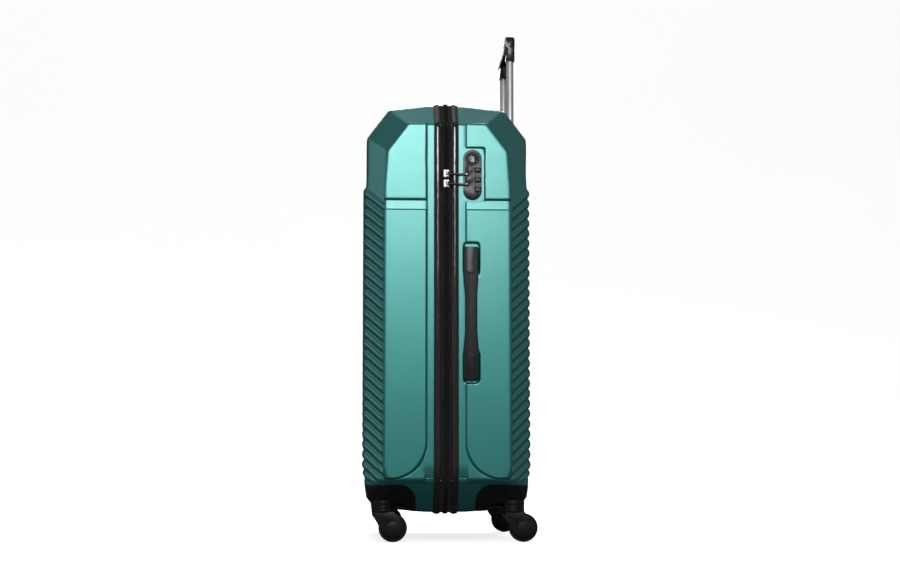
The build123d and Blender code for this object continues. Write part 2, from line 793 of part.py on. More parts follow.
# push button with its cross bar and the two push rods
push_bar = block(
    trolley_x - channel_half_depth + 0.5,
    trolley_x + channel_half_depth - 0.5,
    -trolley_half - 3,
    trolley_half + 3,
    channel_bottom + button_travel + 0.5,
    channel_top - 0.5,
)
button = block(
    trolley_x - button_width / 2,
    trolley_x + button_width / 2,
    -button_length / 2,
    button_length / 2,
    channel_top - 0.5,
    grip_top + button_rise,
)
button = fillet(button.edges().group_by(Axis.Z)[-1], 1.2)
rods = []
for side in (-1, 1):
    y = side * trolley_half
    push_bar -= upright(rod_radius, trolley_x, y, 0, far)
    rod = upright(rod_radius, trolley_x, y, inner_tube_bottom + 6, channel_top - 0.5)
    plug_radius = inner_tube_radius - tube_wall - running_gap
    rod += upright(plug_radius, trolley_x, y, inner_tube_bottom + 6, inner_tube_bottom + 18)
    rods.append(rod)
save("trolley_button", button + push_bar)
save("trolley_push_rods", *rods)

# linings: thin trays that leave room for the trolley, the lock and the handle guides
def lining(depth, side, low, high, end_x):
    outer = form(depth, lining_gap) & block(lining_edge, end_x, -side, side, low, high)
    inner = form(depth, lining_gap + lining_thick) & block(
        -1,
        end_x - lining_thick,
        -side + lining_thick,
        side - lining_thick,
        low + lining_thick,
        high - lining_thick,
    )
    return outer - inner


save("back_lining", lining(back_depth, lining_side, lining_low, lining_high, lining_back_x))
save("front_lining", flip(lining(front_depth, side_half, lining_low, shell_top, front_depth)))

# packing straps that cross in front of the trolley side
strap_span = lining_side - lining_thick
lean = math.degrees(math.atan2(strap_rise, strap_span))
strap_zone = block(0, lining_back_x, -strap_span, strap_span, 0, far)
straps = []
for sign, x in ((1, strap_x), (-1, strap_x + strap_thick + 0.4)):
    strap = Rot(sign * lean, 0, 0) * Box(strap_thick, 3 * strap_span, strap_width)
    straps.append(Pos(x + strap_thick / 2, 0, strap_middle_z) * strap & strap_zone)
save("packing_straps", *straps)
buckle = Box(*buckle_size)
buckle = fillet(buckle.edges().filter_by(Axis.X), 6.0)
buckle = Pos(strap_x - buckle_size[0] / 2, 0, strap_middle_z) * buckle
save("strap_buckle", buckle)

# fabric hinge inside the +Y wall
hinge_y = side_half - wall - 0.4
save(
    "fabric_hinge",
    block(half_gap, hinge_strip_reach, hinge_y - hinge_strip_thick, hinge_y, *hinge_strip_z),
)
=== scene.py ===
import bmesh
import bpy
import json
import math
import numpy as np
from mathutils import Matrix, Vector, noise

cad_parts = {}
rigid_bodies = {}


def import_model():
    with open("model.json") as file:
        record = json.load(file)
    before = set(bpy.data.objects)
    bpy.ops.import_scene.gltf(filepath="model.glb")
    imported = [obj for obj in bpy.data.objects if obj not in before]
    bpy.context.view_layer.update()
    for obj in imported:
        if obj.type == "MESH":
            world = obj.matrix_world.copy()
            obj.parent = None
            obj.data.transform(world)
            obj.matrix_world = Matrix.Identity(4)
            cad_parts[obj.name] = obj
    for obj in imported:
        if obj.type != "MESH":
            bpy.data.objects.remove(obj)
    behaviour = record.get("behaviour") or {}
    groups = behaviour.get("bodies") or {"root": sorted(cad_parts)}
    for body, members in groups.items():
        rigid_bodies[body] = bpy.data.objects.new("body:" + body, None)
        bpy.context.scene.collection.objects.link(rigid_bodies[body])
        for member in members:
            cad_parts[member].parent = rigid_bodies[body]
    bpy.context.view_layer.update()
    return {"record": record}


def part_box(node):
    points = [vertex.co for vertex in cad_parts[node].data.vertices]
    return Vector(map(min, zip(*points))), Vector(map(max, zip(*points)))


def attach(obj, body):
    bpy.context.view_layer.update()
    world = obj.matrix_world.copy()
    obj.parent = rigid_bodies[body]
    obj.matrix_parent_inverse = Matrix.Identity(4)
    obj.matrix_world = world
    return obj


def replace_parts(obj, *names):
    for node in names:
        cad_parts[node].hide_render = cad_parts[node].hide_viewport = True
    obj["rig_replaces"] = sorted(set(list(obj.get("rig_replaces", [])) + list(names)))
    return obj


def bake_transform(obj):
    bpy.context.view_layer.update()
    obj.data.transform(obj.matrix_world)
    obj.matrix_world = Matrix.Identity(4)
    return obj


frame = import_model()
scene = bpy.context.scene
mm = 0.001

# sizes that the pieces share, in metres
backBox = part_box("back_shell")
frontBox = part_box("front_shell")
caseShape = {
    "sideY": backBox[1][1],
    "top": backBox[1][2],
    "bottom": backBox[0][2],
    "backDepth": backBox[1][0],
    "frontDepth": -frontBox[0][0],
    "facetRun": 40 * mm,
    "rimReach": 34 * mm,
    "setback": 9 * mm,
    "wall": 2.6 * mm,
    "sideFoot": 56 * mm,
    "sideShoulder": 43 * mm,
    "wallFoot": 78 * mm,
    "wallShoulder": 157 * mm,
    "edgeInset": 38.5 * mm,
}


def smooth(a, b, x):
    t = np.clip((x - a) / (b - a), 0, 1)
    return t * t * (3 - 2 * t)


def newMesh(name, verts, faces):
    mesh = bpy.data.meshes.new(name)
    mesh.from_pydata([tuple(v) for v in verts], [], faces)
    mesh.update()
    mesh.polygons.foreach_set("use_smooth", [True] * len(mesh.polygons))
    obj = bpy.data.objects.new(name, mesh)
    scene.collection.objects.link(obj)
    return obj


def gridFaces(rows, cols, closeRows=False, closeCols=False):
    faces = []
    for i in range(rows if closeRows else rows - 1):
        for j in range(cols if closeCols else cols - 1):
            a = i * cols + j
            b = i * cols + (j + 1) % cols
            c = ((i + 1) % rows) * cols + (j + 1) % cols
            d = ((i + 1) % rows) * cols + j
            faces.append((a, b, c, d))
    return faces


def addModifier(obj, kind, **values):
    mod = obj.modifiers.new(kind.lower(), kind)
    for key, value in values.items():
        setattr(mod, key, value)
    return mod


def setMaterial(obj, material):
    obj.data.materials.clear()
    obj.data.materials.append(material)


def finished(obj, body, material, slot, *nodes):
    # one place where a piece gets its material and its body
    setMaterial(obj, material)
    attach(obj, body)
    if nodes:
        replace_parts(obj, *nodes)
    return obj


def link(tree, a, b):
    tree.links.new(a, b)


def mathNode(tree, operation, a, b=0.5, clamp=False):
    node = tree.nodes.new("ShaderNodeMath")
    node.operation = operation
    node.use_clamp = clamp
    for i, value in enumerate((a, b)):
        if isinstance(value, (int, float)):
            node.inputs[i].default_value = value
        else:
            link(tree, value, node.inputs[i])
    return node.outputs[0]


def rangeNode(tree, value, low, high, toLow=0.0, toHigh=1.0):
    node = tree.nodes.new("ShaderNodeMapRange")
    link(tree, value, node.inputs["Value"])
    node.inputs["From Min"].default_value = low
    node.inputs["From Max"].default_value = high
    node.inputs["To Min"].default_value = toLow
    node.inputs["To Max"].default_value = toHigh
    return node.outputs[0]


def mixColour(tree, factor, a, b):
    node = tree.nodes.new("ShaderNodeMix")
    node.data_type = "RGBA"
    for label, value in (("Factor", factor), ("A", a), ("B", b)):
        socket = node.inputs[label]
        if isinstance(value, (int, float)):
            socket.default_value = value
        elif isinstance(value, (tuple, list)):
            socket.default_value = (*value, 1.0)
        else:
            link(tree, value, socket)
    return node.outputs["Result"]


def noiseNode(tree, coords, scale, detail=3.0, roughness=0.55, stretch=None):
    vector = coords
    if stretch:
        mapping = tree.nodes.new("ShaderNodeMapping")
        mapping.inputs["Scale"].default_value = stretch
        link(tree, coords, mapping.inputs["Vector"])
        vector = mapping.outputs[0]
    node = tree.nodes.new("ShaderNodeTexNoise")
    node.inputs["Scale"].default_value = scale
    node.inputs["Detail"].default_value = detail
    node.inputs["Roughness"].default_value = roughness
    link(tree, vector, node.inputs["Vector"])
    return node.outputs["Fac"]


def newGroup(name, inputs, outputs):
    group = bpy.data.node_groups.new(name, "ShaderNodeTree")
    for label, value in inputs:
        socket = group.interface.new_socket(name=label, in_out="INPUT",
                                            socket_type="NodeSocketFloat")
        socket.default_value = value
    for label in outputs:
        group.interface.new_socket(name=label, in_out="OUTPUT", socket_type="NodeSocketFloat")
    entry = group.nodes.new("NodeGroupInput")
    leave = group.nodes.new("NodeGroupOutput")
    coords = group.nodes.new("ShaderNodeTexCoord").outputs["Object"]
    return group, entry, leave, coords


def useGroup(tree, group, **values):
    node = tree.nodes.new("ShaderNodeGroup")
    node.node_tree = group
    for label, value in values.items():
        node.inputs[label].default_value = value
    return node


def scaled(tree, coords, factor):
    node = tree.nodes.new("ShaderNodeVectorMath")
    node.operation = "SCALE"
    link(tree, coords, node.inputs[0])
    link(tree, factor, node.inputs["Scale"])
    return node.outputs[0]


def buildGrain():
    # moulded plastic: fine cells and slow unevenness
    group, entry, leave, coords = newGroup(
        "mouldGrain", [("Size", 900.0), ("Unevenness", 9.0)], ["Height", "Patch", "Fine"]
    )
    fine = noiseNode(group, scaled(group, coords, entry.outputs["Size"]), 1.0, 2.0)
    slow = noiseNode(group, scaled(group, coords, entry.outputs["Unevenness"]), 1.0, 4.0)
    quick = mathNode(group, "MULTIPLY", fine, 0.8)
    height = mathNode(group, "ADD", quick, mathNode(group, "MULTIPLY", slow, 0.2))
    link(group, height, leave.inputs["Height"])
    link(group, slow, leave.inputs["Patch"])
    link(group, fine, leave.inputs["Fine"])
    return group


def buildEdgeWear():
    # light rubbing on convex edges, broken up by noise
    inputs = [("Amount", 0.5), ("Breakup", 120.0)]
    group, entry, leave, coords = newGroup("edgeWear", inputs, ["Mask"])
    point = group.nodes.new("ShaderNodeNewGeometry").outputs["Pointiness"]
    edge = rangeNode(group, point, 0.52, 0.62)
    specks = noiseNode(group, scaled(group, coords, entry.outputs["Breakup"]), 1.0, 5.0)
    spots = rangeNode(group, specks, 0.45, 0.7)
    mask = mathNode(group, "MULTIPLY", edge, spots, True)
    mask = mathNode(group, "MULTIPLY", mask, entry.outputs["Amount"], True)
    link(group, mask, leave.inputs["Mask"])
    return group


def buildScuffs():
    # hairline scratches in two directions and dust
    group, entry, leave, coords = newGroup("scuffs", [("Amount", 0.3)], ["Mask", "Dust"])
    a = noiseNode(group, coords, 60.0, 2.0, 0.6, (1.0, 14.0, 0.7))
    b = noiseNode(group, coords, 60.0, 2.0, 0.6, (9.0, 1.0, 3.0))
    a, b = rangeNode(group, a, 0.66, 0.70), rangeNode(group, b, 0.67, 0.71)
    lines = mathNode(group, "MAXIMUM", a, b)
    patches = rangeNode(group, noiseNode(group, coords, 14.0), 0.5, 0.65)
    broken = mathNode(group, "MULTIPLY", lines, patches, True)
    mask = mathNode(group, "MULTIPLY", broken, entry.outputs["Amount"], True)
    link(group, mask, leave.inputs["Mask"])
    dust = rangeNode(group, noiseNode(group, coords, 35.0, 6.0), 0.45, 0.8)
    link(group, dust, leave.inputs["Dust"])
    return group


def buildWeave():
    # crossed threads, counted per metre in both directions of the cloth
    group, entry, leave, coords = newGroup("weave", [("Threads", 1500.0)], ["Height", "Thread"])
    split = group.nodes.new("ShaderNodeSeparateXYZ")
    link(group, scaled(group, coords, entry.outputs["Threads"]), split.inputs[0])
    across = mathNode(group, "ADD", split.outputs["X"], split.outputs["Y"])
    a = mathNode(group, "SINE", across, 0.0)
    b = mathNode(group, "SINE", split.outputs["Z"], 0.0)
    over = mathNode(group, "MULTIPLY", a, b)
    link(group, rangeNode(group, over, -1.0, 1.0), leave.inputs["Height"])
    link(group, noiseNode(group, coords, 700.0, 2.0, 0.5, (1.0, 1.0, 0.1)), leave.inputs["Thread"])
    return group


mouldGrain = buildGrain()
edgeWear = buildEdgeWear()
scuffs = buildScuffs()
weave = buildWeave()


def newMaterial(name):
    material = bpy.data.materials.new(name)
    material.use_nodes = True
    tree = material.node_tree
    return material, tree, tree.nodes["Principled BSDF"]


def bumpInto(tree, shader, height, strength, distance):
    bump = tree.nodes.new("ShaderNodeBump")
    bump.inputs["Strength"].default_value = strength
    bump.inputs["Distance"].default_value = distance
    link(tree, height, bump.inputs["Height"])
    link(tree, bump.outputs[0], shader.inputs["Normal"])


def plasticMaterial(name, look):
    # moulded plastic, from satin to glossy
    material, tree, shader = newMaterial(name)
    grain = useGroup(tree, mouldGrain, Size=look["grainSize"],
                     Unevenness=look.get("patchSize", 9.0))
    wear = useGroup(tree, edgeWear, Amount=look["wear"], Breakup=150.0)
    marks = useGroup(tree, scuffs, Amount=look["scuff"])
    patch = rangeNode(tree, grain.outputs["Patch"], 0.35, 0.65)
    base = mixColour(tree, patch, look["colour"], look["shade"])
    worn = mixColour(tree, wear.outputs["Mask"], base, look["rubbed"])
    worn = mixColour(tree, marks.outputs["Mask"], worn, look["rubbed"])
    link(tree, worn, shader.inputs["Base Color"])
    low, high = look["roughness"]
    rough = rangeNode(tree, grain.outputs["Patch"], 0.3, 0.7, low, high)
    rough = mathNode(tree, "ADD", rough, mathNode(tree, "MULTIPLY", marks.outputs["Mask"], 0.25))
    link(tree, rough, shader.inputs["Roughness"])
    bumpInto(tree, shader, grain.outputs["Height"], look["bump"], 0.0002)
    shader.inputs["Specular IOR Level"].default_value = look.get("specular", 0.5)
    shader.inputs["Coat Weight"].default_value = look.get("coat", 0.0)
    shader.inputs["Coat Roughness"].default_value = look.get("coatRoughness", 0.1)
    return material


def metalMaterial(name, look):
    # drawn or plated metal with fine lines along the given stretch
    material, tree, shader = newMaterial(name)
    coords = tree.nodes.new("ShaderNodeTexCoord").outputs["Object"]
    lines = noiseNode(tree, coords, look["lineScale"], 3.0, 0.6, look["stretch"])
    grain = useGroup(tree, mouldGrain, Size=1400.0, Unevenness=14.0)
    marks = useGroup(tree, scuffs, Amount=look["scuff"])
    patch = rangeNode(tree, grain.outputs["Patch"], 0.35, 0.65)
    tone = mixColour(tree, patch, look["colour"], look["shade"])
    tone = mixColour(tree, marks.outputs["Mask"], tone, look["scratch"])
    link(tree, tone, shader.inputs["Base Color"])
    low, high = look["roughness"]
    link(tree, rangeNode(tree, lines, 0.3, 0.7, low, high), shader.inputs["Roughness"])
    shader.inputs["Metallic"].default_value = 1.0
    bumpInto(tree, shader, lines, look["bump"], 0.0001)
    return material


def clothMaterial(name, look):
    # woven polyester, tape or webbing
    material, tree, shader = newMaterial(name)
    cloth = useGroup(tree, weave, Threads=look["threads"])
    grain = useGroup(tree, mouldGrain, Size=500.0, Unevenness=16.0)
    tone = mixColour(tree, cloth.outputs["Height"], look["shade"], look["colour"])
    tone = mixColour(tree, rangeNode(tree, cloth.outputs["Thread"], 0.35, 0.75), tone, look["lint"])
    link(tree, tone, shader.inputs["Base Color"])
    rough = rangeNode(tree, grain.outputs["Patch"], 0.3, 0.7, 0.75, 0.95)
    link(tree, rough, shader.inputs["Roughness"])
    shader.inputs["Sheen Weight"].default_value = look.get("sheen", 0.25)
    shader.inputs["Sheen Roughness"].default_value = 0.4
    bumpInto(tree, shader, cloth.outputs["Height"], look["bump"], 0.0003)
    return material


def shellMaterial():
    # thermoformed sheet: pearly satin green with a fine diagonal cross-hatch pressed in
    look = {
        "colour": (0.008, 0.290, 0.268),
        "shade": (0.007, 0.266, 0.246),
        "rubbed": (0.12, 0.45, 0.42),
        "hatchPitch": 1.3 * mm,
        "hatchBump": 0.35,
        "metallic": 0.85,
        "roughness": (0.33, 0.40),
        "coat": 0.8,
        "coatIor": 1.9,
        "coatRoughness": 0.29,
    }
    material, tree, shader = newMaterial("shellGreen")
    coords = tree.nodes.new("ShaderNodeTexCoord").outputs["Object"]
    split = tree.nodes.new("ShaderNodeSeparateXYZ")
    link(tree, coords, split.inputs[0])
    along = mathNode(tree, "ADD", split.outputs["X"], split.outputs["Y"])
    turn = 2 * math.pi / look["hatchPitch"]
    waves = []
    for operation in ("ADD", "SUBTRACT"):
        slanted = mathNode(tree, operation, along, split.outputs["Z"])
        waves.append(mathNode(tree, "SINE", mathNode(tree, "MULTIPLY", slanted, turn)))
    hatch = rangeNode(tree, mathNode(tree, "MAXIMUM", *waves), 0.2, 1.0)
    grain = useGroup(tree, mouldGrain, Size=1600.0, Unevenness=7.0)
    wear = useGroup(tree, edgeWear, Amount=0.25, Breakup=90.0)
    marks = useGroup(tree, scuffs, Amount=0.12)
    patches = rangeNode(tree, grain.outputs["Patch"], 0.3, 0.7)
    tone = mixColour(tree, patches, look["colour"], look["shade"])
    tone = mixColour(tree, wear.outputs["Mask"], tone, look["rubbed"])
    tone = mixColour(tree, marks.outputs["Mask"], tone, look["rubbed"])
    link(tree, tone, shader.inputs["Base Color"])
    low, high = look["roughness"]
    rough = rangeNode(tree, grain.outputs["Fine"], 0.3, 0.7, low, high)
    link(tree, rough, shader.inputs["Roughness"])
    shader.inputs["Metallic"].default_value = look["metallic"]
    shader.inputs["Coat Weight"].default_value = look["coat"]
    shader.inputs["Coat IOR"].default_value = look["coatIor"]
    shader.inputs["Coat Roughness"].default_value = look["coatRoughness"]
    pressed = mathNode(tree, "MULTIPLY", hatch, 0.7)
    height = mathNode(tree, "ADD", pressed, mathNode(tree, "MULTIPLY", grain.outputs["Fine"], 0.3))
    bumpInto(tree, shader, height, look["hatchBump"], 0.0001)
    return material


darkLook = {
    "colour": (0.006, 0.0055, 0.0065), "shade": (0.009, 0.0085, 0.0095),
    "rubbed": (0.06, 0.06, 0.065),
    "grainSize": 1300.0, "wear": 0.3, "scuff": 0.12, "roughness": (0.36, 0.46),
    "bump": 0.25, "specular": 0.3,
}
greyLook = dict(darkLook, colour=(0.020, 0.019, 0.022), shade=(0.026, 0.0245, 0.028), specular=0.4)
glossLook = dict(darkLook, roughness=(0.16, 0.26), bump=0.08, coat=0.4, coatRoughness=0.08)
tyreLook = dict(darkLook, colour=(0.009, 0.009, 0.010), roughness=(0.5, 0.65), bump=0.4)
pipingLook = dict(glossLook, grainSize=420.0, roughness=(0.13, 0.2), bump=0.2, coat=1.0,
                  specular=0.6)
whiteLook = dict(darkLook, colour=(0.8, 0.8, 0.8), shade=(0.75, 0.75, 0.75), rubbed=(0.6, 0.6, 0.6))
mats = {
    "shell": shellMaterial(),
    "guard": plasticMaterial("guardBlack", darkLook),
    "fork": plasticMaterial("forkBlack", dict(darkLook, roughness=(0.3, 0.42))),
    "tyre": plasticMaterial("tyreBlack", tyreLook),
    "hub": plasticMaterial("hubGrey", dict(darkLook, colour=(0.010, 0.010, 0.011))),
    "piping": plasticMaterial("pipingVinyl", pipingLook),
    "zipTape": clothMaterial("zipTape", {
        "colour": (0.011, 0.011, 0.012), "shade": (0.004, 0.004, 0.005),
        "lint": (0.022, 0.022, 0.024),
        "threads": 5200.0, "bump": 0.5}),
    "zipCoil": plasticMaterial("zipCoil", dict(darkLook, roughness=(0.3, 0.4))),
    "lock": plasticMaterial("lockGrey", dict(greyLook, roughness=(0.24, 0.32))),
    "lockDark": plasticMaterial("lockDark", dict(glossLook, colour=(0.008, 0.008, 0.009))),
    "handle": plasticMaterial("handleSoft", dict(greyLook, roughness=(0.42, 0.55))),
    "handleCap": plasticMaterial("handleCap", dict(greyLook, roughness=(0.28, 0.36))),
    "grip": plasticMaterial("gripBlack", glossLook),
    "bracket": plasticMaterial("bracketNylon", dict(darkLook, roughness=(0.45, 0.6))),
    "trim": metalMaterial("trimSatin", {
        "colour": (0.92, 0.92, 0.93), "shade": (0.86, 0.86, 0.87), "scratch": (0.95, 0.95, 0.95),
        "lineScale": 80.0, "stretch": (4.0, 0.3, 4.0), "roughness": (0.42, 0.52),
        "bump": 0.05, "scuff": 0.15}),
    "index": plasticMaterial("indexWhite", whiteLook),
    "tube": metalMaterial("tubeAluminium", {
        "colour": (0.80, 0.80, 0.82), "shade": (0.74, 0.74, 0.76), "scratch": (0.9, 0.9, 0.9),
        "lineScale": 90.0, "stretch": (6.0, 6.0, 0.15), "roughness": (0.44, 0.56),
        "bump": 0.08, "scuff": 0.2}),
    "chrome": metalMaterial("plated", {
        "colour": (0.34, 0.34, 0.35), "shade": (0.24, 0.24, 0.25), "scratch": (0.5, 0.5, 0.5),
        "lineScale": 60.0, "stretch": (2.0, 2.0, 2.0), "roughness": (0.12, 0.22),
        "bump": 0.03, "scuff": 0.15}),
    "steel": metalMaterial("screwSteel", {
        "colour": (0.5, 0.5, 0.5), "shade": (0.42, 0.42, 0.42), "scratch": (0.7, 0.7, 0.7),
        "lineScale": 150.0, "stretch": (3.0, 3.0, 3.0), "roughness": (0.25, 0.4),
        "bump": 0.1, "scuff": 0.2}),
    "lining": clothMaterial("liningCloth", {
        "colour": (0.20, 0.205, 0.215), "shade": (0.11, 0.115, 0.12), "lint": (0.27, 0.275, 0.28),
        "threads": 3600.0, "bump": 0.35, "sheen": 0.4}),
    "strap": clothMaterial("strapWebbing", {
        "colour": (0.03, 0.03, 0.033), "shade": (0.01, 0.01, 0.011), "lint": (0.06, 0.06, 0.063),
        "threads": 2600.0, "bump": 0.8}),
}
print("materials ready")


shellLook = {
    "ribPitch": 17.9 * mm,
    "ribHeight": 4.2 * mm,
    "ribDrop": 36 * mm,
    "ribTop": 628 * mm,
    "ribBottom": 112 * mm,
    "panelRaise": 2.3 * mm,
    "panelRound": 62 * mm,
    "panelFoot": 3 * mm,
    "stripTop": 600 * mm,
    "stripHeight": 18.5 * mm,
    "stripDepth": 2.5 * mm,
    "rowStep": 1.7 * mm,
    "guardSeat": 3.4 * mm,
    "guardRound": 28 * mm,
    "guardLap": 9 * mm,
    "handleSeat": 1.7 * mm,
    "topHandleSeat": 4.4 * mm,
    "footReach": 30 * mm,
    "footDepth": 3.4 * mm,
}


def bodyOutline(depth):
    low, high = caseShape["bottom"], caseShape["top"]
    return [
        (caseShape["setback"], low),
        (caseShape["rimReach"], low),
        (depth - 24 * mm, low + 6 * mm),
        (depth - 8 * mm, low + 26 * mm),
        (depth, low + caseShape["wallFoot"]),
        (depth, high - caseShape["wallShoulder"]),
        (depth - 6 * mm, high - 60 * mm),
        (depth - 45 * mm, high - 8.5 * mm),
        (caseShape["rimReach"], high),
        (caseShape["setback"], high),
    ]


def sideOutline(depth):
    low = caseShape["bottom"] + caseShape["sideFoot"]
    high = caseShape["top"] - caseShape["sideShoulder"]
    edge = depth - caseShape["edgeInset"]
    return [
        (caseShape["setback"], low),
        (caseShape["rimReach"], low),
        (edge - 14 * mm, low),
        (edge - 4 * mm, low + 6 * mm),
        (edge, caseShape["bottom"] + caseShape["wallFoot"]),
        (edge, caseShape["top"] - caseShape["wallShoulder"]),
        (edge - 4.5 * mm, caseShape["top"] - 92 * mm),
        (depth - 80 * mm, high),
        (caseShape["rimReach"], high),
        (caseShape["setback"], high),
    ]


def roundedChain(points, radii, fractions, bend=6):
    # open outline with its corners rounded, sampled at given fractions of every straight run
    pts = [np.array(p, float) for p in points]
    cut = [0.0]
    for i in range(1, len(pts) - 1):
        before = np.linalg.norm(pts[i] - pts[i - 1])
        after = np.linalg.norm(pts[i + 1] - pts[i])
        cut.append(min(radii[i], 0.42 * before, 0.42 * after))
    cut.append(0.0)
    out = []
    for i in range(len(pts) - 1):
        way = pts[i + 1] - pts[i]
        length = np.linalg.norm(way)
        way = way / length
        a = pts[i] + way * cut[i]
        b = pts[i + 1] - way * cut[i + 1]
        for f in fractions[i]:
            out.append(a + (b - a) * f)
        if i < len(pts) - 2:
            nextWay = pts[i + 2] - pts[i + 1]
            nextWay = nextWay / np.linalg.norm(nextWay)
            c = pts[i + 1] + nextWay * cut[i + 1]
            for k in range(1, bend):
                t = k / bend
                out.append((1 - t) ** 2 * b + 2 * t * (1 - t) * pts[i + 1] + t * t * c)
    return np.array(out)


def runFractions(points, step, marks):
    # even fractions, plus pairs of close rows wherever a level in marks crosses an upright run
    allRuns = []
    for i in range(len(points) - 1):
        (x0, z0), (x1, z1) = points[i], points[i + 1]
        length = math.hypot(x1 - x0, z1 - z0)
        fractions = list(np.linspace(0, 1, max(3, int(length / step) + 1)))
        if abs(z1 - z0) > 0.9 * length:
            for level in marks:
                for shift in (-0.9 * mm, -0.3 * mm, 0.3 * mm, 0.9 * mm):
                    f = (level + shift - z0) / (z1 - z0)
                    if 0.01 < f < 0.99:
                        fractions = [g for g in fractions if abs(g - f) * length > 0.5 * mm] + [f]
        allRuns.append(sorted(fractions))
    return allRuns


def bezierCorner(a, corner, b, count):
    steps = [k / count for k in range(count + 1)]
    return [(1 - t) ** 2 * a + 2 * t * (1 - t) * corner + t * t * b for t in steps]


handleMarks = [472 * mm, 324 * mm]  # levels of the side handle's ends
panelStart = 26 * mm
denseEnd = 72 * mm


def shellGrid(depth, withPockets):
    # rows follow the outline from the bottom rim over the large face to the top rim,
    # columns run from the -Y rim over side face, facet, large face and back down to the +Y rim
    body = bodyOutline(depth)
    side = sideOutline(depth)
    marks = [shellLook["stripTop"], shellLook["stripTop"] - shellLook["stripHeight"]]
    if withPockets:
        marks += handleMarks
    fractions = runFractions(body, shellLook["rowStep"], marks)
    radii = [0, 4 * mm, 14 * mm, 14 * mm, 0.6 * mm, 0.6 * mm, 5 * mm, 5 * mm, 4 * mm, 0]
    bodyRows = roundedChain(body, radii, fractions)
    sideRows = roundedChain(side, [r * 0.8 for r in radii], fractions)
    rows = len(bodyRows)

    # the rim column follows the heights of the side outline where it is upright
    lowZ, highZ = side[0][1], side[-1][1]
    fromZ, toZ = side[4][1], side[5][1]
    along = np.concatenate([[0], np.cumsum(np.linalg.norm(np.diff(sideRows, axis=0), axis=1))])
    firstUp = int(np.argmin(np.abs(sideRows[:, 1] - fromZ) + (sideRows[:, 0] < 0.08) * 1.0))
    lastUp = int(np.argmin(np.abs(sideRows[:, 1] - toZ) + (sideRows[:, 0] < 0.08) * 1.0))
    spineZ = sideRows[:, 1].copy()
    f = along[: firstUp + 1] / along[firstUp]
    spineZ[: firstUp + 1] = lowZ + (sideRows[firstUp, 1] - lowZ) * f
    g = (along[lastUp:] - along[lastUp]) / (along[-1] - along[lastUp])
    spineZ[lastUp:] = sideRows[lastUp, 1] + (highZ - sideRows[lastUp, 1]) * g

    edgeX = side[5][0]
    panelX = list(np.arange(caseShape["setback"], panelStart, 3 * mm))
    panelX += list(np.arange(panelStart, 33 * mm, 1.4 * mm))
    panelX += [33.6 * mm, 34.2 * mm, 34.8 * mm, 35.4 * mm, 36.0 * mm, 36.8 * mm]
    panelX += list(np.arange(38 * mm, denseEnd, (1.3 if withPockets else 1.9) * mm))
    panelX += list(np.arange(74 * mm, edgeX - 4 * mm, 2.6 * mm))
    panelX = [x for i, x in enumerate(panelX) if i == 0 or x - panelX[i - 1] > 0.3 * mm]
    share = (np.array(panelX) - caseShape["setback"]) / (edgeX - caseShape["setback"])

    outerY = caseShape["sideY"]
    bodyY = outerY - caseShape["facetRun"]
    facetCount, faceCount = 20, 22
    edgeSoft, browSoft = 3.5 * mm, 8 * mm
    grid = []
    facetShare = []
    for i in range(rows):
        sx, sz = sideRows[i]
        bx, bz = bodyRows[i]
        spine = np.array([caseShape["setback"], outerY, spineZ[i]])
        edge = np.array([sx, outerY, sz])
        brow = np.array([bx, bodyY, bz])
        inward = spine - edge
        reach = np.linalg.norm(inward)
        inward = inward / max(reach, 1e-9)
        slope = brow - edge
        span = np.linalg.norm(slope)
        slope = slope / span
        soft = min(edgeSoft, 0.3 * reach)
        line = [spine + (edge + inward * soft - spine) * s for s in share / share[-1]]
        fs = [1.0] * len(line)
        corner = bezierCorner(edge + inward * soft, edge, edge + slope * edgeSoft, 5)[1:]
        line += corner
        fs += [1.0 - 0.06 * (k + 1) / len(corner) for k in range(len(corner))]
        start, end = edge + slope * edgeSoft, brow - slope * browSoft
        for k in range(1, facetCount + 1):
            line.append(start + (end - start) * k / facetCount)
            fs.append(0.94 - 0.80 * k / facetCount)
        turned = bezierCorner(end, brow, brow + np.array([0, -browSoft, 0]), 6)[1:]
        line += turned
        fs += [0.14 * (1 - (k + 1) / len(turned)) for k in range(len(turned))]
        startY = bodyY - browSoft
        middle = [np.array([bx, y, bz]) for y in np.linspace(startY, -startY, faceCount + 1)[1:-1]]
        mirrored = [p * np.array([1, -1, 1]) for p in line]
        grid.append(mirrored + middle[::-1] + line[::-1])
        facetShare.append(fs + [0.0] * len(middle) + fs[::-1])
    return np.array(grid), np.array(facetShare)


def gridNormals(grid):
    down = np.gradient(grid, axis=0)
    across = np.gradient(grid, axis=1)
    normals = np.cross(across, down)
    length = np.linalg.norm(normals, axis=2, keepdims=True)
    normals = normals / np.maximum(length, 1e-12)
    centre = np.array([0.06, 0.0, 0.41])
    if np.mean(np.sum(normals * (grid - centre), axis=2)) < 0:
        normals = -normals
    return normals


def ribRelief(grid, facetShare):
    # ribs lie level across the large face and slant down across the facets
    z = grid[:, :, 2]
    level = z + shellLook["ribDrop"] * facetShare
    swing = 0.5 - 0.5 * np.cos(2 * np.pi * (level - shellLook["ribTop"]) / shellLook["ribPitch"])
    crest = 1.08 * np.power(swing + 0.01, 0.36) - 0.08
    onWall = 1 - smooth(0.93, 0.965, facetShare)
    active = 1 - smooth(shellLook["ribTop"] - 1 * mm, shellLook["ribTop"] + 1 * mm, level)
    active = active * smooth(shellLook["ribBottom"], shellLook["ribBottom"] + 10 * mm, level)
    active = active * smooth(100 * mm, 112 * mm, z)
    sunk = (1 - smooth(640 * mm, 717 * mm, z)) * smooth(98 * mm, 128 * mm, z)
    height = shellLook["ribHeight"]
    return onWall * (-height * sunk + height * np.clip(crest, 0, 1) * active)


